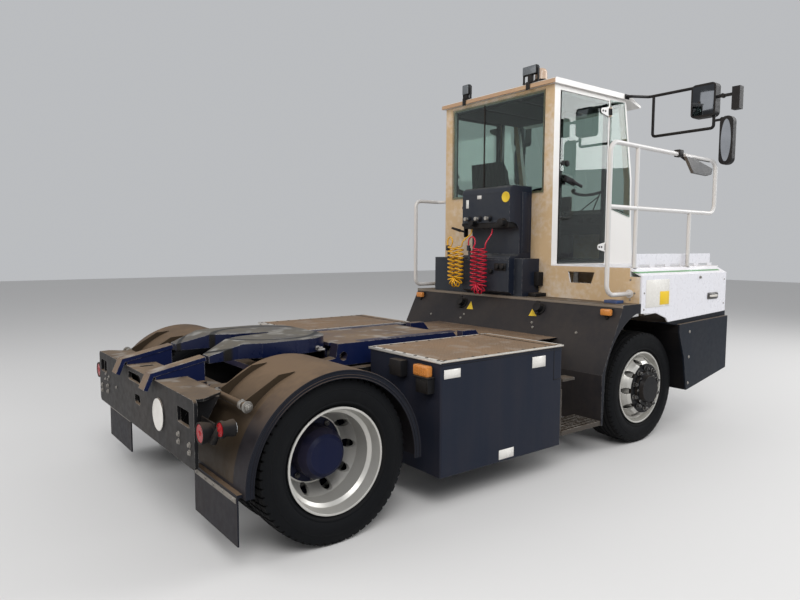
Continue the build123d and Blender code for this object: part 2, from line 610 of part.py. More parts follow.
# Lift cylinders: barrel on the hanger's pin, and rod whose eye carries the pin in the lift frame's clevis
ram_length = sqrt((ram_eye_x - ram_base_x) ** 2 + (ram_eye_z - ram_base_z) ** 2)
ram_direction = Vector((ram_eye_x - ram_base_x) / ram_length, 0, (ram_eye_z - ram_base_z) / ram_length)
barrel_radius = 52.0
barrel_bore = 40.0
ram_rod_radius = 30.0
barrel_start = 55.0
barrel_end = ram_length - 110
bore_start = barrel_start + 8
bore_end = barrel_end - 12
piston_start = bore_start + 2
piston_length = 26.0
eye_width = 44.0
for side, s in both_sides:
    ram_base = Vector(ram_base_x, s * ram_y, ram_base_z)
    with BuildPart() as barrel:
        with BuildSketch(Plane(origin=ram_base + ram_direction * barrel_start, z_dir=ram_direction)):
            Circle(barrel_radius)
        extrude(amount=barrel_end - barrel_start)
        with BuildSketch(Plane(origin=ram_base + ram_direction * bore_start, z_dir=ram_direction)):
            Circle(barrel_bore)
        extrude(amount=bore_end - bore_start, mode=Mode.SUBTRACT)
        with BuildSketch(Plane(origin=ram_base + ram_direction * (barrel_end - 40), z_dir=ram_direction)):
            Circle(ram_rod_radius + fit_gap)
        extrude(amount=60, mode=Mode.SUBTRACT)
        cross_rod(ram_base_x, ram_base_z, 46, (s * (ram_y - eye_width / 2), s * (ram_y + eye_width / 2)))
        with BuildSketch(Plane(origin=ram_base, z_dir=ram_direction)):
            Rectangle(60, eye_width)
        extrude(amount=barrel_start + 4)
        cross_rod(ram_base_x, ram_base_z, ram_pin_radius + fit_gap,
                  (s * (ram_y - eye_width), s * (ram_y + eye_width)), Mode.SUBTRACT)
    save(barrel, f"lift_barrel_{side}")

    with BuildPart() as rod:
        with BuildSketch(Plane(origin=ram_base + ram_direction * piston_start, z_dir=ram_direction)):
            Circle(barrel_bore - fit_gap)
        extrude(amount=piston_length)
        with BuildSketch(Plane(origin=ram_base + ram_direction * piston_start, z_dir=ram_direction)):
            Circle(ram_rod_radius)
        extrude(amount=ram_length - piston_start)
        cross_rod(ram_eye_x, ram_eye_z, 42, (s * (ram_y - eye_width / 2), s * (ram_y + eye_width / 2)))
        cross_rod(ram_eye_x, ram_eye_z, ram_pin_radius, (s * (clevis_inner_y[0] - 4),
                                                         s * (lift_beam_inner_y + 30)))
    save(rod, f"lift_rod_{side}")

# Fifth wheel: pressed plate with a turned-down skirt, sloping horns and the throat for the kingpin
horn_inner_y = 250.0
horn_outer_y = 350.0
throat_mouth_x = rear_axle_x - 60.0
throat_half_width = 62.0


def coupling_outline(inset):
    """Plan outline of the coupling, moved inwards by the given amount, with its throat open to the rear."""
    with BuildSketch(level(0)) as outline:
        with BuildLine():
            Line((coupling_front_x, -210), (coupling_front_x, 210))
            ThreePointArc((coupling_front_x, 210), (coupling_front_x - 75, 372),
                          (coupling_front_x - 320, coupling_half_width))
            Polyline((coupling_front_x - 320, coupling_half_width), (rear_axle_x - 70, coupling_half_width),
                     (coupling_horn_x - 30, horn_outer_y + 45), (coupling_tip_x, horn_outer_y),
                     (coupling_tip_x, horn_inner_y),
                     (throat_mouth_x, throat_half_width), (kingpin_x - 60, kingpin_radius + 4),
                     (kingpin_x, kingpin_radius))
            ThreePointArc((kingpin_x, kingpin_radius), (kingpin_x + kingpin_radius, 0),
                          (kingpin_x, -kingpin_radius))
            Polyline((kingpin_x, -kingpin_radius), (kingpin_x - 60, -kingpin_radius - 4),
                     (throat_mouth_x, -throat_half_width),
                     (coupling_tip_x, -horn_inner_y), (coupling_tip_x, -horn_outer_y),
                     (coupling_horn_x - 30, -horn_outer_y - 45),
                     (rear_axle_x - 70, -coupling_half_width),
                     (coupling_front_x - 320, -coupling_half_width))
            ThreePointArc((coupling_front_x - 320, -coupling_half_width), (coupling_front_x - 75, -372),
                          (coupling_front_x, -210))
        make_face()
        if inset:
            offset(amount=-inset, kind=Kind.INTERSECTION)
    return outline.sketch


coupling_low_z = coupling_top_z - coupling_skirt
tip_top_z = coupling_top_z - coupling_tip_drop
with BuildPart() as fifth_wheel:
    with BuildSketch(side_plane(coupling_half_width + 1)):
        Polygon((coupling_front_x + 1, coupling_low_z), (coupling_front_x + 1, coupling_top_z),
                (coupling_horn_x, coupling_top_z),
                (coupling_tip_x - 1, tip_top_z), (coupling_tip_x - 1, tip_top_z - 44),
                (coupling_horn_x, coupling_low_z), align=None)
    extrude(amount=2 * coupling_half_width + 2)
    extrude(coupling_outline(0), amount=coupling_top_z + 100, mode=Mode.INTERSECT)
    with BuildPart(mode=Mode.SUBTRACT) as hollow:
        with BuildSketch(side_plane(coupling_half_width + 1)):
            Polygon((coupling_front_x + 1, coupling_low_z - 60),
                    (coupling_front_x + 1, coupling_top_z - coupling_plate),
                    (coupling_horn_x, coupling_top_z - coupling_plate),
                    (coupling_tip_x - 1, tip_top_z - coupling_plate),
                    (coupling_tip_x - 1, coupling_low_z - 60), align=None)
        extrude(amount=2 * coupling_half_width + 2)
        extrude(coupling_outline(14), amount=coupling_top_z + 100, mode=Mode.INTERSECT)
    for side, s in both_sides:
        ear = [(coupling_pivot_x - 80, coupling_top_z - coupling_plate + 2),
               (coupling_pivot_x - 42, coupling_pivot_z - 20),
               (coupling_pivot_x + 42, coupling_pivot_z - 20),
               (coupling_pivot_x + 80, coupling_top_z - coupling_plate + 2)]
        side_prism(ear, (s * ear_y[0], s * ear_y[1]))
        cross_rod(coupling_pivot_x, coupling_pivot_z, 42, (s * ear_y[0], s * ear_y[1]))
        cross_rod(coupling_pivot_x, coupling_pivot_z, coupling_pin_radius + fit_gap,
                  (s * (ear_y[0] - 1), s * (ear_y[1] + 1)), Mode.SUBTRACT)
        # Jaw block beside the throat
        jaw = [(kingpin_x - 90, s * (kingpin_radius + 6)), (kingpin_x + 120, s * (kingpin_radius + 6)),
               (kingpin_x + 120, s * 150), (kingpin_x - 60, s * 150)]
        plan_prism(jaw, (coupling_low_z + 8, coupling_top_z - coupling_plate + 2))
save(fifth_wheel, "fifth_wheel")

# Battery boxes: folded housing with a chequered deck in two plates
deck_thickness = 12.0
deck_seam_x = box_front_x - 95.0
seam_gap = 5.0
box_side_inset = 6.0
for side, s in both_sides:
    with BuildPart() as battery_box:
        with BuildSketch(level(box_bottom_z)) as box_plan:
            with Locations(((box_rear_x + box_front_x) / 2, s * (box_inner_y + body_half_width) / 2)):
                RectangleRounded(box_front_x - box_rear_x - 2 * box_side_inset,
                                 body_half_width - box_inner_y - 2 * box_side_inset, 14)
        extrude(amount=deck_z - deck_thickness - box_bottom_z)
        for x0, x1 in ((box_rear_x, deck_seam_x), (deck_seam_x + seam_gap, box_front_x)):
            block((x0, x1), (s * box_inner_y, s * body_half_width), (deck_z - deck_thickness, deck_z))
        block((deck_seam_x - 20, deck_seam_x + 20), (s * (box_inner_y + 20), s * (body_half_width - 8)),
              (deck_z - deck_thickness - 30, deck_z - deck_thickness))
        # Carrier arms from the rail into the box
        for x in (box_rear_x + 200, box_front_x - 200):
            block((x - 40, x + 40), (s * (rail_outer_y + fit_gap), s * (box_inner_y + 20)),
                  (rail_bottom_z + 20, rail_top_z - 20))
    save(battery_box, f"battery_box_{side}")

# Bulkhead: slanted sheet with the ledge on top; its sides are thick and end in the front wheel arches
sheet = 12.0
arch_outer = [(bulkhead_foot_x, bulkhead_foot_z), (bulkhead_knee_x, bulkhead_knee_z), (ledge_x, ledge_z),
              (wall_x, ledge_z)]
arch_top_z = 1103.0
with BuildPart() as bulkhead:
    for side, s in both_sides:
        with BuildSketch(side_plane(max(s * box_inner_y, s * body_half_width))):
            with BuildLine():
                Polyline((bulkhead_foot_x + 17, bulkhead_foot_z), *arch_outer, (wall_x, arch_top_z))
                Line((wall_x, arch_top_z), (rear_axle_x + 2745, arch_top_z))
                ThreePointArc((rear_axle_x + 2745, arch_top_z), (rear_axle_x + 2465, 905),
                              (rear_axle_x + 2352, 655))
                Line((rear_axle_x + 2352, 655), (bulkhead_foot_x + 17, bulkhead_foot_z))
            make_face()
        extrude(amount=body_half_width - box_inner_y)
    knee_slope = (ledge_x - bulkhead_knee_x) / (ledge_z - bulkhead_knee_z)
    middle_foot_z = rail_top_z + fit_gap
    middle_foot_x = bulkhead_knee_x + knee_slope * (middle_foot_z - bulkhead_knee_z)
    middle = [(middle_foot_x, middle_foot_z), (ledge_x, ledge_z), (ledge_x + 2 * sheet, ledge_z),
              (middle_foot_x + 2 * sheet, middle_foot_z)]
    side_prism(middle, (-box_inner_y - 1, box_inner_y + 1))
    block((ledge_x, wall_x), (-body_half_width, body_half_width), (ledge_z, ledge_z + ledge_thickness))
    block((wall_x - 2 * sheet, wall_x), (-box_inner_y, box_inner_y), (arch_top_z - 60, ledge_z))
save(bulkhead, "bulkhead")

# Front body: open tray turned over, with the floor on top and the step hole in its rear wall
tray_wall = 16.0
tray_front_x = nose_x - 30.0
tray_bottom_z = arch_top_z + 4
step_hole = [(-534, 1414), (-808, 1414), (-776, 1318), (-559, 1318)]
with BuildPart() as front_body:
    block((wall_x, tray_front_x), (-walkway_y, walkway_y), (tray_bottom_z, floor_z))
    block((wall_x + tray_wall, tray_front_x - tray_wall), (-walkway_y + tray_wall, walkway_y - tray_wall),
          (tray_bottom_z - 1, floor_z - 20), Mode.SUBTRACT)
    # Rear wall below the floor, out to the side panels, and its foot on the ledge
    block((wall_x, wall_x + tray_wall), (-body_half_width + 14, body_half_width - 14),
          (tray_bottom_z, body_side_top_z - 12))
    cross_prism(step_hole, (wall_x - 1, wall_x + tray_wall + 1), Mode.SUBTRACT)
    block((wall_x + tray_wall, wall_x + tray_wall + 150), (-820, -520), (1296, 1312))
    for y in (-430, 430):
        block((wall_x + tray_wall - 1, tray_front_x - tray_wall + 1), (y - 30, y + 30),
              (rail_top_z + fit_gap, rail_top_z + 60))
        for x in (wall_x + tray_wall + 30, front_axle_x, tray_front_x - 60):
            block((x - 30, x + 30), (y - 30, y + 30), (rail_top_z + 50, floor_z - 18))
save(front_body, "front_body")

# White side panels with their slanted top strip; the lower edge rises over the front wheel arch
panel_front_x = rear_axle_x + 4185
panel_skin = 12.0
panel_side = [
    (wall_x + 5, 1099), (rear_axle_x + 3025, 1094), (rear_axle_x + 3180, 1043), (rear_axle_x + 3213, 1007),
    (panel_front_x, 1049), (panel_front_x, floor_z + 1), (wall_x + 5, floor_z + 1),
]
with BuildPart() as side_panels:
    for side, s in both_sides:
        panel_section = [
            (s * body_half_width, 1000), (s * body_half_width, body_side_top_z),
            (s * (walkway_y + fit_gap), floor_z),
            (s * (walkway_y + fit_gap), floor_z - 2 * panel_skin),
            (s * (body_half_width - panel_skin), body_side_top_z - 8),
            (s * (body_half_width - panel_skin), 1000),
        ]
        cross_prism(panel_section, (wall_x + 5, panel_front_x))
        end_cap = [(s * (body_half_width - 2), 1000), (s * (body_half_width - 2), body_side_top_z - 4),
                   (s * (walkway_y + 2), floor_z - 6), (s * (walkway_y + 2), 1000)]
        cross_prism(end_cap, (panel_front_x - panel_skin, panel_front_x))
    outline_cut = side_plane(body_half_width + 1)
    with BuildSketch(outline_cut):
        Polygon(*panel_side, align=None)
    extrude(amount=2 * body_half_width + 2, mode=Mode.INTERSECT)
save(side_panels, "side_panels")

# Dark lockers ahead of the front wheels, with a bevelled top edge
locker_inner_y = 700.0
locker_rear = [(rear_axle_x + 3550, 386), (rear_axle_x + 3494, 674), (rear_axle_x + 3403, 900),
               (locker_rear_x, locker_top_z)]
with BuildPart() as front_lockers:
    for side, s in both_sides:
        locker_side = [*locker_rear, (locker_front_x, locker_top_z + 28), (locker_front_x, 513)]
        side_prism(locker_side, (s * locker_inner_y, s * body_half_width))
        bevel = [(rear_axle_x + 3213, 1003), (locker_front_x, 1046), (locker_front_x, locker_top_z + 20),
                 (locker_rear_x, locker_top_z - 8)]
        side_prism(bevel, (s * (body_half_width - 120), s * (body_half_width - 26)))
        block((rear_axle_x + 3560, rear_axle_x + 4100), (s * (rail_outer_y + fit_gap),
                                                         s * (locker_inner_y + 1)), (620, 680))
save(front_lockers, "front_lockers")

# Front bumper with its lamp holes and the tow pin in its jaw
bumper_z = (560.0, 800.0)
bumper_thickness = 14.0
tow_pin_radius = 20.0
tow_pin_x = nose_x - 55.0
with BuildPart() as front_bumper:
    with BuildSketch(cross_plane(nose_x - bumper_thickness)):
        with Locations((0, sum(bumper_z) / 2)):
            RectangleRounded(2 * body_half_width - 40, bumper_z[1] - bumper_z[0], 24)
        with Locations((-980, 690), (980, 690)):
            Circle(92, mode=Mode.SUBTRACT)
        with Locations((0, 690)):
            RectangleRounded(170, 96, 20, mode=Mode.SUBTRACT)
    extrude(amount=bumper_thickness)
    for y in (-440, 440):
        block((rail_front_x + fit_gap, nose_x - bumper_thickness), (y - 40, y + 40),
              (bumper_z[0] + 20, bumper_z[1] - 12))
    for z in (634, 730):
        block((rail_front_x + 10, nose_x - bumper_thickness), (-480, 480), (z, z + 16))
    upright_rod(tow_pin_x, 0, tow_pin_radius, (610, 790))
    for y in (-980, 980):
        long_rod(y, 690, 88, (locker_front_x + fit_gap, nose_x - 4))
        long_rod(y, 690, 94, (locker_front_x + fit_gap, nose_x - bumper_thickness + 1))
save(front_bumper, "front_bumper")

# Walkway beside the cab: tread plate and toe board
toe_board_y = -(walkway_y - 27)
with BuildPart() as walkway:
    block((wall_x + 20, panel_front_x), (toe_board_y + 4, cab_right_y - fit_gap),
          (floor_z + fit_gap, floor_z + 6))
    block((door_rear_x - 18, panel_front_x - 55), (toe_board_y, toe_board_y + 5),
          (floor_z + 24, floor_z + 113))
    toe_pitch = 240.0
    for i in range(6):
        x = door_rear_x + 40 + toe_pitch * i
        block((x - 40, x + 40), (toe_board_y, toe_board_y + 5), (floor_z + fit_gap, floor_z + 26))
save(walkway, "walkway")

# Handrails: bent tube with posts on the right, and a grab rail at the left corner
rail_tube = 18.0
rail_rear_tube_x = rear_axle_x + 2490
rail_front_tube_x = rear_axle_x + 4110
with BuildPart() as rail_right:
    y = -walkway_y
    bent_tube([(wall_x - 4, y, 1254), (rail_rear_tube_x, y, 1254), (rail_rear_tube_x, y, 2433),
               (rail_front_tube_x, y, 2409),
               (rail_front_tube_x, y, 1938), (rail_rear_tube_x + 5, y, 1938)], 85, rail_tube)
    long_rod(y, 1254, 34, (wall_x - 8, wall_x - fit_gap))
    # Posts: x, foot height and head height
    for x, low, high in ((rear_axle_x + 2856, floor_z + fit_gap, 2427),
                         (rear_axle_x + 3680, floor_z + fit_gap, 1938)):
        upright_rod(x, y, rail_tube - 2, (low, high))
        upright_rod(x, y, rail_tube + 8, (low, low + 6))
    # Small rail mirror on its arm
    block((rear_axle_x + 3440, rear_axle_x + 3500), (y - 24, y + 24), (2400, 2452))
    with BuildSketch(side_plane(y - 20)):
        Polygon((rear_axle_x + 3490, 2420), (rear_axle_x + 3560, 2413), (rear_axle_x + 3967, 2330),
                (rear_axle_x + 3950, 2280),
                (rear_axle_x + 3880, 2262), (rear_axle_x + 3640, 2270), align=None)
    extrude(amount=26)
save(rail_right, "rail_right")

with BuildPart() as rail_left:
    y = body_half_width - rail_tube - 4
    bent_tube([(wall_x - 4, y, 1225), (rear_axle_x + 2510, y, 1225), (rear_axle_x + 2510, y, 2107),
               (rear_axle_x + 2843, y, 2107),
               (rear_axle_x + 2843, cab_left_y + 2, 2107)], 60, rail_tube)
    long_rod(y, 1225, 30, (wall_x - 8, wall_x - fit_gap))
    cross_rod(rear_axle_x + 2843, 2107, 30, (cab_left_y + fit_gap, cab_left_y + 8))
save(rail_left, "rail_left")

# Side steps between the battery boxes and the bulkhead: grating treads and a small upper step
step_tread_z = 312.0
tread_y = (1000.0, 1244.0)
bar_pitch = 40.0
hanger_x = box_front_x - box_side_inset + fit_gap
hanger_front_x = box_front_x + 8
hanger_top_z = 618.0
upper_bracket_z = (hanger_top_z + 2, 700.0)
with BuildPart() as side_steps:
    for side, s in both_sides:
        tread_x = (hanger_front_x + fit_gap, bulkhead_foot_x - 1)
        for y in (tread_y[0], tread_y[1] - 8):
            block(tread_x, (s * y, s * (y + 8)), (step_tread_z - 34, step_tread_z))
        bar_count = int((tread_x[1] - tread_x[0]) // bar_pitch)
        for i in range(bar_count + 1):
            x = tread_x[0] + 4 + i * (tread_x[1] - tread_x[0] - 8) / bar_count
            block((x - 4, x + 4), (s * tread_y[0], s * tread_y[1]), (step_tread_z - 26, step_tread_z - 1))
        for i in range(1, 5):
            y = tread_y[0] + i * (tread_y[1] - tread_y[0]) / 5
            block(tread_x, (s * (y - 2), s * (y + 2)), (step_tread_z - 12, step_tread_z - 1))
        # Hangers on the box, and the upper step on its own bracket
        for y in (tread_y[0] + 4, tread_y[1] - 16):
            block((hanger_x, hanger_front_x), (s * y, s * (y + 10)), (step_tread_z - 34, hanger_top_z))
        block((hanger_x, hanger_front_x), (s * 1140, s * 1230), upper_bracket_z)
        block((box_front_x + 6, box_front_x + 140), (s * 1150, s * 1244), (672, 690))
save(side_steps, "side_steps")

# Rear mudguards: half rings with a turned-in lip, carried by a stay tube, with a flap behind
guard_radius = 552.0
guard_z = 419.0
guard_skin = 8.0
guard_lip = 46.0
guard_y = (600.0, 1245.0)
stay_x = rear_axle_x - 470
stay_z = 812.0
stay_end_y = 1100.0
flap_x = rear_axle_x - 580
flap_y = (635.0, 1212.0)
flap_bottom_z = 150.0
with BuildPart() as rear_mudguards:
    for side, s in both_sides:
        with BuildSketch(side_plane(max(s * guard_y[0], s * guard_y[1]))) as guard:
            with Locations((rear_axle_x, guard_z)):
                Circle(guard_radius)
                Circle(guard_radius - guard_skin, mode=Mode.SUBTRACT)
            with Locations((rear_axle_x, guard_z - guard_radius / 2 - 30)):
                Rectangle(3 * guard_radius, guard_radius, mode=Mode.SUBTRACT)
        extrude(amount=guard_y[1] - guard_y[0])
        with BuildSketch(side_plane(s * guard_y[1] if s > 0 else -(guard_y[1] - guard_skin))) as lip:
            with Locations((rear_axle_x, guard_z)):
                Circle(guard_radius)
                Circle(guard_radius - guard_lip, mode=Mode.SUBTRACT)
            with Locations((rear_axle_x, guard_z - guard_radius / 2 - 30)):
                Rectangle(3 * guard_radius, guard_radius, mode=Mode.SUBTRACT)
        extrude(amount=guard_skin)
        # Stay tube on its foot at the rail, with two bracket plates to the guard
        cross_rod(stay_x, stay_z, 20, (s * (rail_outer_y - 30), s * stay_end_y))
        block((stay_x - 30, stay_x + 30), (s * (rail_outer_y - 32), s * (rail_outer_y + 14)),
              (rail_top_z + fit_gap, stay_z + 22))
        bracket = [(rear_axle_x - 470, 795), (rear_axle_x - 455, 834), (rear_axle_x - 262, 945),
                   (rear_axle_x - 165, 952), (rear_axle_x - 262, 898), (rear_axle_x - 400, 790)]
        for y in (guard_y[0] + 100, 1040):
            side_prism(bracket, (s * y, s * (y + 8)))
        # Flap hangs from a strip on the guard's rear end
        block((flap_x, flap_x + 8), (s * flap_y[0], s * flap_y[1]), (flap_bottom_z, 412))
        block((flap_x + 2, rear_axle_x - guard_radius + 8), (s * flap_y[0], s * flap_y[1]), (396, 412))
save(rear_mudguards, "rear_mudguards")

# Tail lamps: a round lamp beside each end of the rear plate, and an outline lamp on a rubber arm
lamp_plate_x = rear_axle_x - 636
lamp_plate_y = (900.0, 1085.0)
lamp_plate_z = (648.0, 752.0)
tail_lamp = (1034.0, 700.0, 56.0)
outline_lamp = (1157.0, 737.0, 43.0)
outline_lamp_x = (rear_axle_x - 645, rear_axle_x - 555)
lamp_arm = [(1030.0, 650.0), (1085.0, 650.0), (1180.0, 730.0), (1130.0, 745.0)]
with BuildPart() as tail_lamps:
    for side, s in both_sides:
        block((lamp_plate_x, lamp_plate_x + 8), (s * lamp_plate_y[0], s * lamp_plate_y[1]), lamp_plate_z)
        block((rear_plate_x + rear_plate_thickness, lamp_plate_x + 4),
              (s * lamp_plate_y[0], s * (lamp_plate_y[0] + 12)), (lamp_plate_z[0], lamp_plate_z[0] + 44))
        long_rod(s * tail_lamp[0], tail_lamp[1], tail_lamp[2], (rear_plate_x + 3, lamp_plate_x + 1))
        long_rod(s * outline_lamp[0], outline_lamp[1], outline_lamp[2], outline_lamp_x)
        cross_prism([(s * y, z) for y, z in lamp_arm], (lamp_plate_x - 8, lamp_plate_x + 6))
save(tail_lamps, "tail_lamps")

# Amber marker lamps: one on a bracket behind each battery box, and one under each end of the ledge
marker_foot_z = (1098.0, 1142.0)
with BuildPart() as marker_lamps:
    for side, s in both_sides:
        block((box_rear_x - 51, box_rear_x - 5), (s * 1036, s * 1217), (838, 904))
        block((box_rear_x - 56, box_rear_x + box_side_inset - fit_gap), (s * 1050, s * 1205), (730, 838))
        # Foot on the slanted sheet, and the lamp on it
        foot_x = [bulkhead_knee_x + knee_slope * (z - bulkhead_knee_z) - fit_gap for z in marker_foot_z]
        foot = [(foot_x[0], marker_foot_z[0]), (foot_x[1], marker_foot_z[1]),
                (foot_x[0] - 14, marker_foot_z[1]),
                (foot_x[0] - 14, marker_foot_z[0])]
        side_prism(foot, (s * 1140 - 30, s * 1140 + 30))
        block((foot_x[0] - 44, foot_x[0] - 12), (s * 1140 - 50, s * 1140 + 50), (1094, 1148))
save(marker_lamps, "marker_lamps")

# Service column behind the cab: head over a recessed stem, on a wide low housing
column_x = rear_axle_x + 2500
column_y = (-113.0, 497.0)
housing_x = ledge_x + 15
housing_y = (-209.0, 982.0)
housing_top_z = 1521.0
column_top_z = 2180.0
column_back_x = wall_x - glass_thickness - 4
column_foot_z = ledge_z + ledge_thickness + fit_gap
socket_z = 1801.0
coil_x = column_x - 62
park_y = (345.0, 640.0)
park_z = 1640.0
with BuildPart() as service_column:
    with BuildSketch(side_plane(column_y[1])):
        with BuildLine():
            Polyline((column_back_x, column_foot_z), (column_back_x, column_top_z),
                     (column_x + 70, column_top_z))
            ThreePointArc((column_x + 70, column_top_z), (column_x + 12, column_top_z - 22),
                          (column_x, column_top_z - 70))
            Line((column_x, column_top_z - 70), (column_x, 1850))
            Line((column_x, 1850), (column_x + 30, 1850))
            ThreePointArc((column_x + 30, 1850), (column_x + 105, 1820), (column_x + 135, 1745))
            Polyline((column_x + 135, 1745), (column_x + 135, 1560), (column_x + 110, 1545),
                     (column_x + 20, 1545), (column_x, 1525),
                     (column_x, column_foot_z + 40), (housing_x + 10, column_foot_z),
                     (column_back_x, column_foot_z))
        make_face()
    extrude(amount=column_y[1] - column_y[0])
    with BuildSketch(level(column_foot_z)):
        with Locations(((housing_x + wall_x - fit_gap) / 2, sum(housing_y) / 2)):
            Rectangle(wall_x - fit_gap - housing_x, housing_y[1] - housing_y[0])
    extrude(amount=housing_top_z - column_foot_z)
    # Row of air fittings under the head, and the round blank plate on it
    for y in (127.0, 260.0, 400.0):
        upright_rod(column_x + 32, y, 16, (socket_z - 8, 1852))
        long_rod(y, 1888, 20, (column_x - 34, column_x + 1))
    long_rod(-67, 2074, 48, (column_x - 4, column_x + 1))
    # Parking posts, each with the head that the line's far end is coupled to
    for y in park_y:
        block((coil_x + 10, housing_x + 20), (y - 14, y + 14), (1500, 1514))
        block((coil_x + 10, coil_x + 20), (y - 14, y + 14), (1500, 1614))
        upright_rod(coil_x, y, 17, (park_z - 50, park_z))
save(service_column, "service_column")

# Coiled air lines: two limbs side by side, joined by a bend at the bottom
limb_spacing = 92.0
coil_radius = 38.0
line_radius = 6.5
# Columns: name, middle y, top of the coil, bottom of the bend, y of its fitting, y of its parked head
coil_rows = (("coil_yellow", 530.0, 1634.0, 1242.0, 400.0, park_y[1]),
             ("coil_red", 215.0, 1616.0, 1191.0, 127.0, park_y[0]))
for name, middle_y, top_z, bottom_z, fitting_y, head_y in coil_rows:
    with BuildPart() as coil:
        near_y = middle_y - limb_spacing / 2
        far_y = middle_y + limb_spacing / 2
        bend_z = bottom_z + coil_radius
        bent_tube([(coil_x, near_y, top_z), (coil_x, near_y, bend_z), (coil_x, far_y, bend_z),
                   (coil_x, far_y, top_z)],
                  limb_spacing / 2 - 1, coil_radius)
        bent_tube([(coil_x, near_y, top_z - 5), (coil_x, near_y, top_z + 50),
                   (column_x + 32, fitting_y, socket_z - 55),
                   (column_x + 32, fitting_y, socket_z - 8 - fit_gap)], 28, line_radius)
        bent_tube([(coil_x, far_y, top_z - 5), (coil_x, far_y, park_z + 70), (coil_x, head_y, park_z + 70),
                   (coil_x, head_y, park_z + fit_gap)], 28, line_radius)
    save(coil, name)

# Cab shell: one hollow body with door, quarter, rear and windscreen openings
cab_outline = [
    (wall_x, floor_z + fit_gap), (windscreen_foot_x - 4, floor_z + fit_gap),
    (rear_axle_x + 4034, windscreen_sill_z),
    (windscreen_knee_x, windscreen_knee_z), (windscreen_head_x, cab_top_z), (wall_x, cab_top_z),
]
cab_inner_y = (cab_right_y + cab_wall, cab_left_y - cab_wall)
door_gap = 6.0
hinge_x = door_front_x + 16.0
hinge_reach = 20.0
hinge_pin_radius = 7.0
hinge_barrel = 11.0
hinge_half_height = 30.0
hinge_z = (1629.0, 2915.0)
quarter_outline = [
    (door_front_x + 42, 2022), (rear_axle_x + 3985, 1946), (rear_axle_x + 3972, windscreen_knee_z),
    (rear_axle_x + 3842, door_top_z),
    (door_front_x + 42, door_top_z),
]
rear_window_y = (-240.0, 965.0)
rear_window_z = (2121.0, 3030.0)
glass_lap = 18.0
with BuildPart() as cab_shell:
    side_prism(cab_outline, (cab_right_y, cab_left_y))
    with BuildSketch(side_plane(cab_inner_y[1])):
        Polygon(*cab_outline, align=None)
        offset(amount=-cab_wall, kind=Kind.INTERSECTION)
    extrude(amount=cab_inner_y[1] - cab_inner_y[0], mode=Mode.SUBTRACT)
    block((wall_x - 1, wall_x + cab_wall + 1), (rear_window_y[0] + glass_lap, rear_window_y[1] - glass_lap),
          (rear_window_z[0] + glass_lap, rear_window_z[1] - glass_lap), Mode.SUBTRACT)
    block((rear_axle_x + 3835, windscreen_foot_x), (cab_inner_y[0] + 8, cab_inner_y[1] - 8),
          (windscreen_sill_z + 24, cab_top_z - 58), Mode.SUBTRACT)
    for wall in ((cab_right_y - 1, cab_inner_y[0] + 1), (cab_inner_y[1] - 1, cab_left_y + 1)):
        block((door_rear_x, door_front_x), wall, (door_bottom_z, door_top_z), Mode.SUBTRACT)
        side_prism(quarter_outline, wall, Mode.SUBTRACT)
    # Door hinges: two leaves with the pin between them
    for outer_y, s in ((cab_right_y, -1), (cab_left_y, 1)):
        for z in hinge_z:
            for low in (z - hinge_half_height - 14, z + hinge_half_height + 2):
                block((hinge_x - hinge_barrel, hinge_x + hinge_barrel),
                      (outer_y - s * 1, outer_y + s * hinge_reach), (low, low + 12))
                upright_rod(hinge_x, outer_y + s * hinge_reach, hinge_barrel, (low, low + 12))
            upright_rod(hinge_x, outer_y + s * hinge_reach, hinge_pin_radius,
                        (z - hinge_half_height - 4, z + hinge_half_height + 4))
save(cab_shell, "cab_shell")

# Cab roof with its rear overhang and the front visor
roof_overhang = 28.0
roof_side = [
    (rear_axle_x + 2760, cab_top_z + fit_gap), (rear_axle_x + 2764, 3098),
    (rear_axle_x + 2790, cab_roof_z), (rear_axle_x + 3890, cab_roof_z),
    (rear_axle_x + 4100, 3032), (rear_axle_x + 4092, 3010), (windscreen_head_x + 20, cab_top_z + fit_gap),
]
with BuildPart() as cab_roof:
    side_prism(roof_side, (cab_right_y - roof_overhang, cab_left_y + roof_overhang))
save(cab_roof, "cab_roof")

# Bonded glass: rear window, quarter panes and the two flat parts of the windscreen
with BuildPart() as cab_glass:
    block((wall_x - glass_thickness, wall_x - fit_gap), rear_window_y, rear_window_z)
    for y0 in (cab_right_y - glass_thickness, cab_left_y + fit_gap):
        with BuildSketch(side_plane(y0 + glass_thickness - fit_gap)):
            Polygon(*quarter_outline, align=None)
            offset(amount=glass_lap - 4, kind=Kind.INTERSECTION)
        extrude(amount=glass_thickness - fit_gap)
    screen = [(rear_axle_x + 4034.6, windscreen_sill_z + 6), (windscreen_knee_x + 0.6, windscreen_knee_z),
              (windscreen_head_x + 10.4, cab_top_z - 50), (windscreen_head_x + 16.4, cab_top_z - 49),
              (windscreen_knee_x + 6.8, windscreen_knee_z + 1),
              (rear_axle_x + 4040.6, windscreen_sill_z + 6)]
    side_prism(screen, (cab_inner_y[0] - 12, cab_inner_y[1] + 12))
save(cab_glass, "cab_glass")

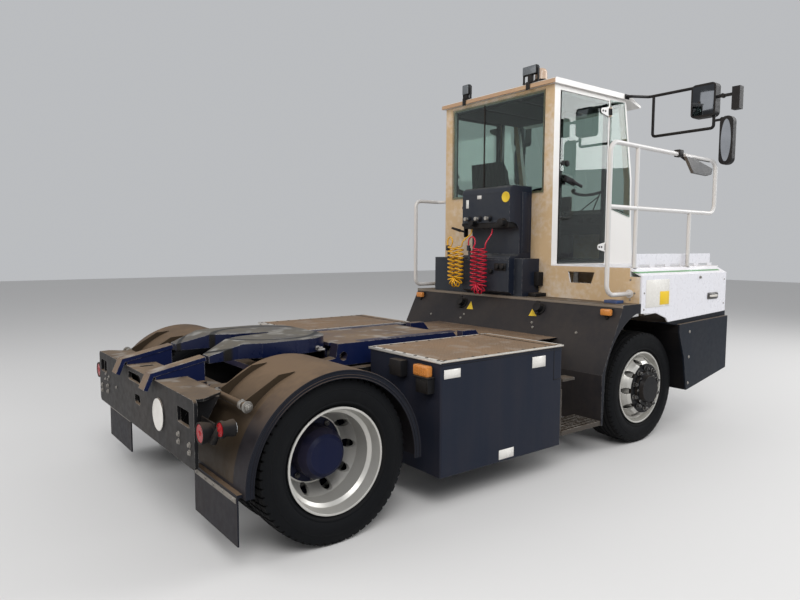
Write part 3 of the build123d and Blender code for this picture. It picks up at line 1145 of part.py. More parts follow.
# Doors: thin frame round the pane, with two hinge plates at the front edge and a lever handle
door_frame = 34.0
door_frame_depth = 34.0
door_rear_gap = 8.0
for side, s in both_sides:
    outer_y = cab_right_y if s < 0 else cab_left_y
    hinge_y = outer_y + s * hinge_reach
    door_x = (door_rear_x + door_rear_gap, door_front_x - door_gap)
    door_z = (door_bottom_z + door_gap, door_top_z - door_gap)
    with BuildPart() as door:
        with BuildSketch(side_plane(max(outer_y, outer_y - s * door_frame_depth))):
            with Locations((sum(door_x) / 2, sum(door_z) / 2)):
                RectangleRounded(door_x[1] - door_x[0], door_z[1] - door_z[0], 20)
                RectangleRounded(door_x[1] - door_x[0] - 2 * door_frame,
                                 door_z[1] - door_z[0] - 2 * door_frame, 12, mode=Mode.SUBTRACT)
        extrude(amount=door_frame_depth)
        for z in hinge_z:
            # Hinge plate over the glass, round at its rear end, and its knuckle
            with BuildSketch(side_plane(max(outer_y + s * (glass_thickness + fit_gap),
                                            outer_y + s * (glass_thickness + 6)))):
                with Locations((door_x[1] - 62, z)):
                    Circle(27)
                Polygon((door_x[1] - 62, z - 27), (door_x[1] - 62, z + 27), (door_x[1], z + 40),
                        (door_x[1], z - 40), align=None)
            extrude(amount=6 - fit_gap)
            block((door_x[1] - 12, door_x[1]), (outer_y - s * 2, outer_y + s * (glass_thickness + 6)),
                  (z - 40, z + 40))
            block((door_x[1] - 12, hinge_x), (outer_y + s * (glass_thickness + 2),
                                              outer_y + s * (hinge_reach + 2)),
                  (z - hinge_half_height, z + hinge_half_height))
            upright_rod(hinge_x, hinge_y, hinge_barrel, (z - hinge_half_height, z + hinge_half_height))
            upright_rod(hinge_x, hinge_y, hinge_pin_radius + fit_gap,
                        (z - hinge_half_height - 1, z + hinge_half_height + 1), Mode.SUBTRACT)
        handle_x = door_rear_x + 90
        block((door_x[0] + door_frame - 2, handle_x), (outer_y - s * 24, outer_y), (2190, 2280))
        block((handle_x - 30, handle_x - 6), (outer_y - s * 10, outer_y + s * 38), (2225, 2245))
        block((handle_x - 34, handle_x + 70), (outer_y + s * 30, outer_y + s * 42), (2218, 2246))
        cross_rod(handle_x - 46, 2381, 22, (outer_y - s * 10, outer_y + s * 14))
    save(door, f"door_{side}")

    with BuildPart() as pane:
        with BuildSketch(side_plane(max(outer_y + s * fit_gap, outer_y + s * glass_thickness))):
            with Locations((sum(door_x) / 2, sum(door_z) / 2)):
                RectangleRounded(door_x[1] - door_x[0], door_z[1] - door_z[0], 20)
            for x, z, r in ((handle_x - 18, 2235, 16), (handle_x - 46, 2381, 23)):
                with Locations((x, z)):
                    Circle(r, mode=Mode.SUBTRACT)
            for z in hinge_z:
                with Locations((door_x[1], z)):
                    Rectangle(40, 84, mode=Mode.SUBTRACT)
        extrude(amount=glass_thickness - fit_gap)
    save(pane, f"door_glass_{side}")

# Driver's seat: pedestal with shells, and its cushions
seat_centre_y = 600.0
seat_back_x = rear_axle_x + 2925
cab_floor_z = floor_z + fit_gap + cab_wall
cushion_z = 1830.0
with BuildPart() as seat_frame:
    block((seat_back_x + 90, seat_back_x + 480), (seat_centre_y - 190, seat_centre_y + 190),
          (cab_floor_z + fit_gap, cab_floor_z + 60))
    block((seat_back_x + 130, seat_back_x + 440), (seat_centre_y - 150, seat_centre_y + 150),
          (cab_floor_z + 50, cushion_z - 20))
    block((seat_back_x + 60, seat_back_x + 520), (seat_centre_y - 220, seat_centre_y + 220),
          (cushion_z - 40, cushion_z))
    back_shell = [(seat_back_x + 40, cushion_z - 30), (seat_back_x + 90, cushion_z - 30),
                  (seat_back_x + 24, 2470), (seat_back_x - 6, 2470)]
    side_prism(back_shell, (seat_centre_y - 215, seat_centre_y + 215))
back_lean = 66 / (2470 - cushion_z + 30)
save(seat_frame, "seat_frame")

with BuildPart() as seat_cushions:
    with BuildSketch(side_plane(seat_centre_y + 235)):
        Polygon((seat_back_x + 120, cushion_z + fit_gap), (seat_back_x + 560, cushion_z + fit_gap),
                (seat_back_x + 590, cushion_z + 60),
                (seat_back_x + 560, cushion_z + 118), (seat_back_x + 130, cushion_z + 96), align=None)
    extrude(amount=470)
    with BuildSketch(side_plane(seat_centre_y + 245)):
        Polygon((seat_back_x + 90.5 - back_lean * 134, cushion_z + 104),
                (seat_back_x + 200, cushion_z + 130), (seat_back_x + 140, 2480),
                (seat_back_x + 90, 2512), (seat_back_x + 24.5 - back_lean * 30, 2500), align=None)
    extrude(amount=490)
    # The back narrows upwards and ends in round shoulders
    with BuildSketch(cross_plane(seat_back_x - 60)) as back_face:
        Polygon((seat_centre_y - 245, cushion_z), (seat_centre_y + 245, cushion_z),
                (seat_centre_y + 245, 2200),
                (seat_centre_y + 205, 2512), (seat_centre_y - 205, 2512), (seat_centre_y - 245, 2200),
                align=None)
        fillet(back_face.vertices().group_by(Axis.Y)[-1], 110)
    extrude(back_face.sketch, amount=700, mode=Mode.INTERSECT)
save(seat_cushions, "seat_cushions")

# Dashboard across the cab's front, with the steering column and wheel
wheel_plane_tilt = 30.0
with BuildPart() as dashboard:
    dash_side = [(rear_axle_x + 3700, 1850), (rear_axle_x + 3720, 1960), (rear_axle_x + 3850, 2010),
                 (rear_axle_x + 3968, 1985),
                 (rear_axle_x + 3968, 1760), (rear_axle_x + 3860, 1760)]
    side_prism(dash_side, (cab_inner_y[0] + fit_gap, cab_inner_y[1] - fit_gap))
    block((rear_axle_x + 3880, rear_axle_x + 3960), (seat_centre_y - 300, seat_centre_y + 300),
          (cab_floor_z + fit_gap, 1780))
    wheel_centre = Vector(rear_axle_x + 3620, seat_centre_y, 2160)
    wheel_axis = Vector(-sin(radians(wheel_plane_tilt)), 0, cos(radians(wheel_plane_tilt)))
    with BuildSketch(Plane(origin=wheel_centre, x_dir=(0, 1, 0), z_dir=-wheel_axis)):
        Circle(28)
    extrude(amount=330)
    with BuildSketch(Plane(origin=wheel_centre - wheel_axis * 14, x_dir=(0, 1, 0), z_dir=wheel_axis)):
        for angle in (90, 210, 330):
            with Locations(Location((0, 0), angle)):
                with Locations((100, 0)):
                    Rectangle(200, 34)
        Circle(55)
    extrude(amount=16)
    rim_plane = Plane(origin=wheel_centre, x_dir=(0, 1, 0), z_dir=wheel_axis)
    with BuildSketch(Plane(origin=wheel_centre + Vector(0, 210, 0), x_dir=rim_plane.z_dir,
                           z_dir=(-wheel_axis.Z, 0, wheel_axis.X))) as grip:
        Circle(15)
    revolve(grip.sketch, axis=Axis(wheel_centre, wheel_axis))
save(dashboard, "dashboard")

# Roof lamps: two work lamps and the beacon at the rear edge of the roof
with BuildPart() as roof_lamps:
    for y0, y1, z0, z1 in ((720, 815, 3160, 3259), (-156, 10, 3185, 3266)):
        x0 = rear_axle_x + 2768
        block((x0, x0 + 60), (y0, y1), (z0, z1))
        block((x0 + 20, x0 + 50), ((y0 + y1) / 2 - 10, (y0 + y1) / 2 + 10), (cab_roof_z + fit_gap, z0 + 4))
    upright_rod(rear_axle_x + 2905, -98, 70, (cab_roof_z + fit_gap, cab_roof_z + 40))
    upright_rod(rear_axle_x + 2905, -98, 60, (cab_roof_z + 40, 3262))
save(roof_lamps, "roof_lamps")

# Mirrors ahead of the cab on bent arms: tube frame, main housing, narrow mirror and outer mirror
mirror_x = rear_axle_x + 4150
arm_radius = 14.0
arm_root_x = rear_axle_x + 3850
roof_edge_y = (cab_right_y - roof_overhang, cab_left_y + roof_overhang)
# Columns: direction, y of the roof's edge, then distances from the middle plane: the inner upright,
# the outer upright, the head's two sides, the blade's middle, and the outer mirror's inner side
mirror_rows = ((-1, roof_edge_y[0], 480.0, 1090.0, 889.0, 1121.0, 1222.0, 1260.0),
               (1, roof_edge_y[1], 1185.0, 1262.0, 1120.0, 1318.0, 1262.0, 1290.0))
with BuildPart() as mirrors:
    for s, edge_y, inner_y, outer_y, head_in, head_out, blade_y, wide_y in mirror_rows:
        block((arm_root_x - 34, arm_root_x + 34), (edge_y + s * fit_gap, edge_y + s * 8),
              (cab_top_z + 4, cab_roof_z - 2))
        bent_tube([(arm_root_x, edge_y + s * 4, 3088), (arm_root_x, edge_y + s * 36, 3088),
                   (mirror_x, edge_y + s * 60, 3120),
                   (mirror_x, s * outer_y, 3120), (mirror_x, s * outer_y, 2725),
                   (mirror_x, s * inner_y, 2725),
                   (mirror_x, s * inner_y, 3119)], 30, arm_radius)
        with BuildSketch(cross_plane(mirror_x - 45)):
            with Locations((s * (head_in + head_out) / 2, 2981)):
                RectangleRounded(head_out - head_in, 304, 40)
        extrude(amount=90)
        with BuildSketch(cross_plane(mirror_x - 30)):
            with Locations((s * blade_y, 2595)):
                RectangleRounded(121, 434, 55)
        extrude(amount=60)
        block((mirror_x - 10, mirror_x + 10), (s * (outer_y - 10), s * (blade_y + 10)), (2780, 2800))
        block((mirror_x - 35, mirror_x + 35), (s * wide_y, s * mirror_half_width), (2860, 3060))
        block((mirror_x - 12, mirror_x + 12), (s * outer_y, s * (mirror_half_width - 20)), (2990, 3014))
save(mirrors, "mirrors")
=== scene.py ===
import math

import bmesh
import bpy
from mathutils import Matrix, Vector


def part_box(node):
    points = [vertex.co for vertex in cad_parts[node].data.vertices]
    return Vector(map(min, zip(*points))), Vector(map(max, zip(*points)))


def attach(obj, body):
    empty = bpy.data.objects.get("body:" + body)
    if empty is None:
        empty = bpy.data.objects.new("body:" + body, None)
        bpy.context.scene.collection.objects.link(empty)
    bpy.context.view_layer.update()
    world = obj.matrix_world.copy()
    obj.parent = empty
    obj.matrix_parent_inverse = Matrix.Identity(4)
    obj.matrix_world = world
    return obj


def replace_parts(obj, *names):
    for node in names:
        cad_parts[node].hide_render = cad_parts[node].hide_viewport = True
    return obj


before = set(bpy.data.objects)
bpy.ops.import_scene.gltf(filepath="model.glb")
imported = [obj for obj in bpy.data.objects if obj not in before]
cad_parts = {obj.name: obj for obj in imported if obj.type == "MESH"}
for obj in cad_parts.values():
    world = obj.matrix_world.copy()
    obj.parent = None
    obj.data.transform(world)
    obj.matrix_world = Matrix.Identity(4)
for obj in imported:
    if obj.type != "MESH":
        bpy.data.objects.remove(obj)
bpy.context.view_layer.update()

# Chassis rails, cross members, axles and bumper: steel plate and channel, welded and bolted.
# All are sprayed in one dark blue-grey paint; road dust lies on top and on what faces the rear,
# and the edges are rubbed thin.
both_sides = (("right", -1), ("left", 1))
rearwards = (-1, 0, 0)
forwards = (1, 0, 0)
upwards = (0, 0, 1)
rear_wheel_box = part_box("rims_rear_right")
front_wheel_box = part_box("rim_front_right")
rear_x = (rear_wheel_box[0].x + rear_wheel_box[1].x) / 2
front_x = (front_wheel_box[0].x + front_wheel_box[1].x) / 2
wheel_z = (rear_wheel_box[0].z + rear_wheel_box[1].z) / 2


def mask_group():
    """Node group: 1 inside a box that is given by its two corners, 0 outside it."""
    group = bpy.data.node_groups.new("inside_box", "ShaderNodeTree")
    for name in ("Low", "High"):
        group.interface.new_socket(name=name, in_out="INPUT", socket_type="NodeSocketVector")
    group.interface.new_socket(name="Mask", in_out="OUTPUT", socket_type="NodeSocketFloat")
    nodes, links = group.nodes, group.links
    given, result = nodes.new("NodeGroupInput"), nodes.new("NodeGroupOutput")
    place = nodes.new("ShaderNodeTexCoord")
    parts = []
    for first, second in ((place.outputs["Object"], given.outputs["Low"]),
                          (given.outputs["High"], place.outputs["Object"])):
        gap = nodes.new("ShaderNodeVectorMath")
        gap.operation = "SUBTRACT"
        links.new(first, gap.inputs[0])
        links.new(second, gap.inputs[1])
        axes = nodes.new("ShaderNodeSeparateXYZ")
        links.new(gap.outputs[0], axes.inputs[0])
        parts += list(axes.outputs)
    least = parts[0]
    for part in parts[1:]:
        lower = nodes.new("ShaderNodeMath")
        lower.operation = "MINIMUM"
        links.new(least, lower.inputs[0])
        links.new(part, lower.inputs[1])
        least = lower.outputs[0]
    above = nodes.new("ShaderNodeMath")
    above.operation = "GREATER_THAN"
    above.inputs[1].default_value = 0.0
    links.new(least, above.inputs[0])
    links.new(above.outputs[0], result.inputs["Mask"])
    return group


def paint_group():
    """Node group shared by the painted pieces: dust on top, dust at the rear that on the white body is also
    painted shade, rubbed edges, orange peel.
    """
    group = bpy.data.node_groups.new("dusty_paint", "ShaderNodeTree")
    for name, kind in (("Paint", "NodeSocketColor"), ("Dust", "NodeSocketColor"),
                       ("Top dust", "NodeSocketFloat"), ("Rear dust and shade", "NodeSocketFloat"),
                       ("Wear", "NodeSocketFloat"), ("Gloss", "NodeSocketFloat")):
        group.interface.new_socket(name=name, in_out="INPUT", socket_type=kind)
    for name, kind in (("Colour", "NodeSocketColor"), ("Roughness", "NodeSocketFloat"),
                       ("Height", "NodeSocketFloat"), ("Edge normal", "NodeSocketVector")):
        group.interface.new_socket(name=name, in_out="OUTPUT", socket_type=kind)
    nodes, links = group.nodes, group.links
    given, result = nodes.new("NodeGroupInput"), nodes.new("NodeGroupOutput")
    place = nodes.new("ShaderNodeTexCoord")

    def noise(scale, detail, stretch=None):
        node = nodes.new("ShaderNodeTexNoise")
        node.inputs["Scale"].default_value = scale
        node.inputs["Detail"].default_value = detail
        if stretch:
            turn = nodes.new("ShaderNodeMapping")
            turn.inputs["Scale"].default_value = stretch
            links.new(place.outputs["Object"], turn.inputs["Vector"])
            links.new(turn.outputs["Vector"], node.inputs["Vector"])
        else:
            links.new(place.outputs["Object"], node.inputs["Vector"])
        return node.outputs["Fac"]

    def maths(operation, a, b, clamp=False):
        node = nodes.new("ShaderNodeMath")
        node.operation = operation
        node.use_clamp = clamp
        for socket, value in zip(node.inputs, (a, b)):
            if isinstance(value, (int, float)):
                socket.default_value = value
            else:
                links.new(value, socket)
        return node.outputs[0]

    def span(value, low, high, to_low=0.0, to_high=1.0):
        node = nodes.new("ShaderNodeMapRange")
        links.new(value, node.inputs["Value"])
        for name, number in (("From Min", low), ("From Max", high), ("To Min", to_low), ("To Max", to_high)):
            node.inputs[name].default_value = number
        return node.outputs["Result"]

    def mix(mask, a, b):
        node = nodes.new("ShaderNodeMix")
        node.data_type = "RGBA"
        links.new(mask, node.inputs["Factor"])
        links.new(a, node.inputs["A"])
        if isinstance(b, tuple):
            node.inputs["B"].default_value = b
        else:
            links.new(b, node.inputs["B"])
        return node.outputs["Result"]

    surface = nodes.new("ShaderNodeNewGeometry")
    facing = nodes.new("ShaderNodeSeparateXYZ")
    links.new(place.outputs["Normal"], facing.inputs[0])
    cloud = noise(2.3, 5)
    fine = noise(24, 6)
    streak = noise(1.0, 4, (14, 14, 1.1))
    patchy = span(maths("ADD", cloud, maths("MULTIPLY", fine, 0.5)), 0.5, 0.95, 0.45, 1.0)
    top = maths("MULTIPLY", span(facing.outputs["Z"], 0.45, 0.95), given.outputs["Top dust"])
    # Faces that look rearwards take the dust colour: road dust, and on the white body also a painted shade of
    # warm bounced light.
    rear = maths("MULTIPLY", span(facing.outputs["X"], -0.35, -0.9), given.outputs["Rear dust and shade"])
    dusty = maths("MULTIPLY", maths("MAXIMUM", top, rear), patchy, True)
    film = maths("MULTIPLY", span(maths("ADD", cloud, streak), 0.8, 1.35), 0.03, True)
    soiled = mix(film, mix(dusty, given.outputs["Paint"], given.outputs["Dust"]), given.outputs["Dust"])
    round_edge = nodes.new("ShaderNodeBevel")
    round_edge.samples = 4
    round_edge.inputs["Radius"].default_value = 0.004
    turn = nodes.new("ShaderNodeVectorMath")
    turn.operation = "DOT_PRODUCT"
    links.new(round_edge.outputs["Normal"], turn.inputs[0])
    links.new(surface.outputs["Normal"], turn.inputs[1])
    edge = span(turn.outputs["Value"], 0.985, 0.90)
    rubbed = maths("MULTIPLY", edge, span(fine, 0.40, 0.58))
    scuffed = maths("MULTIPLY", span(facing.outputs["Z"], 0.6, 0.95),
                    span(noise(7, 8), 0.55, 0.66, 0.0, 0.45))
    worn = maths("MULTIPLY", maths("MAXIMUM", rubbed, scuffed), given.outputs["Wear"], True)
    links.new(mix(worn, soiled, (0.40, 0.39, 0.37, 1)), result.inputs["Colour"])
    rough = maths("ADD", given.outputs["Gloss"], maths("MULTIPLY", dusty, 0.35))
    links.new(maths("ADD", rough, maths("MULTIPLY", span(fine, 0.35, 0.7), 0.10), True),
              result.inputs["Roughness"])
    links.new(maths("ADD", maths("MULTIPLY", noise(160, 2), 0.35), maths("MULTIPLY", fine, 0.4)),
              result.inputs["Height"])
    links.new(round_edge.outputs["Normal"], result.inputs["Edge normal"])
    return group


inside_box = mask_group()
dusty_paint = paint_group()
road_dust = (0.19, 0.138, 0.094, 1)


def painted(name, paint, dust=road_dust, top=0.6, rear=0.2, wear=0.4, gloss=0.4, metallic=0.0, bump=0.15,
            specular=0.12, other_colours=()):
    """Paint on the shared effect; other_colours lists boxes (low, high, colour) that have another paint."""
    material = bpy.data.materials.new(name)
    material.use_nodes = True
    nodes, links = material.node_tree.nodes, material.node_tree.links
    shader = nodes["Principled BSDF"]
    shader.inputs["Metallic"].default_value = metallic
    shader.inputs["Specular IOR Level"].default_value = specular
    effect = nodes.new("ShaderNodeGroup")
    effect.node_tree = dusty_paint
    for socket, value in (("Paint", paint), ("Dust", dust), ("Top dust", top), ("Rear dust and shade", rear),
                          ("Wear", wear), ("Gloss", gloss)):
        effect.inputs[socket].default_value = value
    colour = None
    for low, high, other in other_colours:
        mask = nodes.new("ShaderNodeGroup")
        mask.node_tree = inside_box
        mask.inputs["Low"].default_value = low
        mask.inputs["High"].default_value = high
        blend = nodes.new("ShaderNodeMix")
        blend.data_type = "RGBA"
        links.new(mask.outputs["Mask"], blend.inputs["Factor"])
        if colour:
            links.new(colour, blend.inputs["A"])
        else:
            blend.inputs["A"].default_value = paint
        blend.inputs["B"].default_value = other
        colour = blend.outputs["Result"]
    if colour:
        links.new(colour, effect.inputs["Paint"])
    relief = nodes.new("ShaderNodeBump")
    relief.inputs["Strength"].default_value = bump
    relief.inputs["Distance"].default_value = 0.0008
    links.new(effect.outputs["Colour"], shader.inputs["Base Color"])
    links.new(effect.outputs["Roughness"], shader.inputs["Roughness"])
    links.new(effect.outputs["Height"], relief.inputs["Height"])
    links.new(effect.outputs["Edge normal"], relief.inputs["Normal"])
    links.new(relief.outputs["Normal"], shader.inputs["Normal"])
    return material


def finish_nodes(material, *names):
    """Give CAD nodes their finish."""
    for name in names:
        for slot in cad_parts[name].material_slots:
            slot.material = material


chassis_paint = painted("chassis_paint", (0.009, 0.009, 0.010, 1), top=0.95, rear=0.05, wear=0.7, gloss=0.42)
finish_nodes(chassis_paint, "chassis_rail_right", "chassis_rail_left", "cross_members", "rear_axle",
             "front_axle", "lift_barrel_right", "lift_barrel_left", "front_bumper", "rear_plate")
bare_steel = painted("bare_steel", (0.30, 0.29, 0.28, 1), top=0.5, rear=0.3, wear=0.2, gloss=0.38,
                     metallic=0.8)
finish_nodes(bare_steel, "knuckle_right", "knuckle_left", "tie_rod", "drive_motor", "lift_rod_right",
             "lift_rod_left")


# Rear plate fittings: hexagon bolts with washers through the plate, and the round enamelled plate.
# The enamel is white over a pressed rim.
def finish_piece(name, shape, material, body, edge_angle=35):
    """Turn a finished bmesh into a named piece that rides on its body."""
    bmesh.ops.remove_doubles(shape, verts=shape.verts, dist=0.00001)
    bmesh.ops.recalc_face_normals(shape, faces=shape.faces)
    mesh = bpy.data.meshes.new(name)
    shape.to_mesh(mesh)
    shape.free()
    mesh.shade_smooth()
    mesh.set_sharp_from_angle(angle=math.radians(edge_angle))
    mesh.materials.append(material)
    piece = bpy.data.objects.new(name, mesh)
    bpy.context.scene.collection.objects.link(piece)
    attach(piece, body)
    return piece


def add_block(shape, x, y, z, rounding=0.002):
    """Block with rounded edges between two ends along each axis."""
    made = bmesh.ops.create_cube(shape, size=1)["verts"]
    bmesh.ops.scale(shape, vec=[abs(b - a) for a, b in (x, y, z)], verts=made)
    bmesh.ops.translate(shape, vec=[(a + b) / 2 for a, b in (x, y, z)], verts=made)
    if rounding:
        edges = list({edge for vert in made for edge in vert.link_edges})
        bmesh.ops.bevel(shape, geom=edges, offset=rounding, segments=2, profile=0.5, affect="EDGES",
                        material=-1)


def add_rod(shape, start, end, radius, end_radius=None, sides=24, rounding=0.0):
    """Round or six-sided bar between two points."""
    start, end = Vector(start), Vector(end)
    turn = (end - start).to_track_quat("Z", "Y").to_matrix().to_4x4()
    made = bmesh.ops.create_cone(shape, cap_ends=True, segments=sides, radius1=radius,
                                 radius2=radius if end_radius is None else end_radius,
                                 depth=(end - start).length,
                                 matrix=Matrix.Translation((start + end) / 2) @ turn)["verts"]
    if rounding:
        rims = [edge for edge in {edge for vert in made for edge in vert.link_edges}
                if sum(len(face.verts) > 4 for face in edge.link_faces) == 1]
        bmesh.ops.bevel(shape, geom=rims, offset=rounding, segments=2, profile=0.5, affect="EDGES",
                        material=-1)


def add_bolt(shape, place, out, size=0.012):
    """Washer and hexagon head that stand on a face."""
    place, out = Vector(place), Vector(out)
    add_rod(shape, place, place + out * size * 0.25, size * 1.35, sides=20)
    add_rod(shape, place + out * size * 0.2, place + out * size * 0.95, size, sides=6, rounding=size * 0.12)


rear_plate_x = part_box("rear_plate")[0].x + 0.006
bolt_zinc = painted("bolt_zinc", (0.26, 0.25, 0.23, 1), top=0.3, rear=0.4, wear=0.5, gloss=0.35, metallic=0.7)
plate_bolts = bmesh.new()
for _, s in both_sides:
    for y, z in ((0.742, 0.630), (0.742, 0.590), (0.905, 0.610), (0.905, 0.570)):
        add_bolt(plate_bolts, (rear_plate_x, s * y, z), rearwards)
for y, z in ((0.797, 0.706), (0.706, 0.700), (0.812, 0.668), (0.738, 0.676), (0.513, 0.659)):
    add_bolt(plate_bolts, (rear_plate_x, y, z), rearwards, 0.008)
finish_piece("plate_bolts", plate_bolts, bolt_zinc, "vehicle")

white_enamel = painted("white_enamel", (0.69, 0.67, 0.63, 1), top=0.0, rear=0.25, wear=0.1, gloss=0.22,
                       bump=0.05, specular=0.5)
round_plate = bmesh.new()
disc = Vector((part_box("rear_plate")[0].x, -0.410, 0.665))


def add_lathe(shape, profile, centre, axis, steps=64, closed=False):
    """Turned form; each row of the profile is a distance along the axis and a radius."""
    centre, axis = Vector(centre), Vector(axis).normalized()
    out = axis.orthogonal().normalized()
    verts = [shape.verts.new(centre + axis * along + out * radius) for along, radius in profile]
    edges = [shape.edges.new(pair) for pair in zip(verts, verts[1:])]
    if closed:
        edges.append(shape.edges.new((verts[-1], verts[0])))
    bmesh.ops.spin(shape, geom=verts + edges, cent=centre, axis=axis, dvec=(0, 0, 0), angle=2 * math.pi,
                   steps=steps, use_merge=True, use_duplicate=False)


add_lathe(round_plate, [(0, 0.0), (0.0022, 0.0), (0.0022, 0.079), (0.0036, 0.081), (0.0036, 0.090),
                        (0.002, 0.0925), (0, 0.0925)], disc, rearwards)
finish_piece("round_plate", round_plate, white_enamel, "vehicle")

# Tyres: radial truck tyres of black rubber, moulded with tread blocks, sipes and wall ribs.
# The walls carry raised rings; the twins stand a hand apart on the rear hubs.
tyre_radius = wheel_z
tread_half = 0.126
pitches = 60
notch_depth = 0.011


def crown(across):
    """Radius of the tread at a distance from the tyre's middle."""
    return tyre_radius - 0.0005 - 0.0065 * (across / tread_half) ** 2


def tyre_section(grooves):
    """Half and half of the tyre's closed section, as rows of distance across and radius."""
    wall = [(0.1105, 0.2863), (0.1115, 0.3010), (0.1180, 0.3080), (0.1268, 0.3165), (0.1335, 0.3190),
            (0.1345, 0.3260), (0.1325, 0.3300), (0.1375, 0.3400), (0.1420, 0.3520), (0.1446, 0.3640),
            (0.1456, 0.3760), (0.1450, 0.3880), (0.1436, 0.3960), (0.1449, 0.3978), (0.1447, 0.4006),
            (0.1424, 0.4020), (0.1412, 0.4120), (0.1395, 0.4220), (0.1360, 0.4330), (0.1325, 0.4430),
            (0.1293, 0.4510)]
    tread = [(tread_half, crown(tread_half))]
    for middle, width in sorted(grooves, reverse=True):
        for across, depth in ((middle + width / 2, 0), (middle + width / 2 - 0.0015, 0.013),
                              (middle - width / 2 + 0.0015, 0.013), (middle - width / 2, 0)):
            if across > 0.0005:
                tread.append((across, crown(across) - depth))
    half = wall + tread
    return half + [(-across, radius) for across, radius in reversed(half)]


def add_tyre(shape, centre, grooves, notched):
    """Grow one tyre ring by ring, with a notch across the chosen rows in each pitch."""
    rows = tyre_section(grooves)
    verts = [shape.verts.new(centre + Vector((0, across, radius))) for across, radius in rows]
    edges = [shape.edges.new((verts[i], verts[(i + 1) % len(verts)])) for i in range(len(verts))]
    first = list(verts)
    flat = {round(across, 4): radius for across, radius in rows if radius > tyre_radius - 0.0125}
    pitch = 2 * math.pi / pitches
    steps = [(0.36, False), (0.36, False), (0.03, True), (0.22, True), (0.03, False)]
    total = pitches * len(steps)
    for i in range(total):
        share, low = steps[i % len(steps)]
        if i == total - 1:
            bmesh.ops.bridge_loops(shape, edges=edges + first_edges)
            break
        grown = bmesh.ops.extrude_edge_only(shape, edges=edges)["geom"]
        verts = [item for item in grown if isinstance(item, bmesh.types.BMVert)]
        edges = [item for item in grown if isinstance(item, bmesh.types.BMEdge)]
        if i == 0:
            first_edges = [edge for edge in shape.edges if edge.verts[0] in first and edge.verts[1] in first]
        bmesh.ops.rotate(shape, cent=centre, matrix=Matrix.Rotation(pitch * share, 3, (0, 1, 0)), verts=verts)
        for vert in verts:
            spoke = vert.co - centre
            across = round(spoke.y, 4)
            if across in flat:
                spoke.y = 0
                full = flat[across]
                cut = notch_depth if low and notched(abs(across)) else 0
                level = spoke.normalized() * (full - cut)
                vert.co = centre + level + Vector((0, across, 0))


rubber = painted("tyre_rubber", (0.005, 0.0055, 0.0065, 1), dust=(0.040, 0.036, 0.032, 1), top=0.2, rear=0.2,
                 wear=0.0, gloss=0.60, bump=0.35, specular=0.08)
rear_grooves = ((0.026, 0.010), (0.074, 0.011))
front_grooves = ((0.021, 0.009), (0.062, 0.009), (0.100, 0.006))
rear_tyre_y = (1.078, 0.745)
for side, s in both_sides:
    twin = bmesh.new()
    for y in rear_tyre_y:
        add_tyre(twin, Vector((rear_x, s * y, wheel_z)), rear_grooves, lambda across: True)
    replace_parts(finish_piece(f"twin_tyres_{side}", twin, rubber, f"wheel_rear_{side}", 28),
                f"tyres_rear_{side}")
    single = bmesh.new()
    add_tyre(single, Vector((front_x, s * 1.018, wheel_z)), front_grooves, lambda across: across > 0.103)
    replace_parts(finish_piece(f"steer_tyre_{side}", single, rubber, f"wheel_front_{side}", 28),
                f"tyre_front_{side}")


# Wheels: pressed steel discs welded in their rims, in silver paint; the rear hubs are navy, the front ones black.
# Ten nuts on a ring hold each wheel, each with its washer and stud end.
wheel_silver = (0.52, 0.51, 0.48, 1)
wheel_metallic = 0.55


def wheel_paint(name, axle_x, hub_radius, hub_colour, drum_y):
    """Silver paint that changes to the hub's colour within a radius of the axle, and inside of drum_y."""
    material = painted(name, wheel_silver, top=0.1, rear=0.1, wear=0.1, gloss=0.28, metallic=wheel_metallic,
                       bump=0.08, specular=0.12)
    nodes, links = material.node_tree.nodes, material.node_tree.links
    effect = next(node for node in nodes if node.type == "GROUP")
    place = nodes.new("ShaderNodeTexCoord")
    shift = nodes.new("ShaderNodeMapping")
    shift.inputs["Location"].default_value = (-axle_x, 0, -wheel_z)
    links.new(place.outputs["Object"], shift.inputs["Vector"])
    axes = nodes.new("ShaderNodeSeparateXYZ")
    links.new(shift.outputs["Vector"], axes.inputs[0])
    flat = nodes.new("ShaderNodeCombineXYZ")
    links.new(axes.outputs["X"], flat.inputs["X"])
    links.new(axes.outputs["Z"], flat.inputs["Z"])
    reach = nodes.new("ShaderNodeVectorMath")
    reach.operation = "LENGTH"
    links.new(flat.outputs[0], reach.inputs[0])
    hub = nodes.new("ShaderNodeMapRange")
    hub.inputs["From Min"].default_value = hub_radius + 0.001
    hub.inputs["From Max"].default_value = hub_radius - 0.001
    links.new(reach.outputs["Value"], hub.inputs["Value"])
    width = nodes.new("ShaderNodeMath")
    width.operation = "ABSOLUTE"
    links.new(axes.outputs["Y"], width.inputs[0])
    drum = nodes.new("ShaderNodeMath")
    drum.operation = "LESS_THAN"
    drum.inputs[1].default_value = drum_y
    links.new(width.outputs[0], drum.inputs[0])
    either = nodes.new("ShaderNodeMath")
    either.operation = "MAXIMUM"
    links.new(hub.outputs["Result"], either.inputs[0])
    links.new(drum.outputs[0], either.inputs[1])
    colour = nodes.new("ShaderNodeMix")
    colour.data_type = "RGBA"
    colour.inputs["A"].default_value = wheel_silver
    colour.inputs["B"].default_value = hub_colour
    links.new(either.outputs[0], colour.inputs["Factor"])
    links.new(colour.outputs["Result"], effect.inputs["Paint"])
    metal = nodes.new("ShaderNodeMath")
    metal.operation = "MULTIPLY_ADD"
    links.new(either.outputs[0], metal.inputs[0])
    metal.inputs[1].default_value = -wheel_metallic
    metal.inputs[2].default_value = wheel_metallic
    links.new(metal.outputs[0], nodes["Principled BSDF"].inputs["Metallic"])
    return material


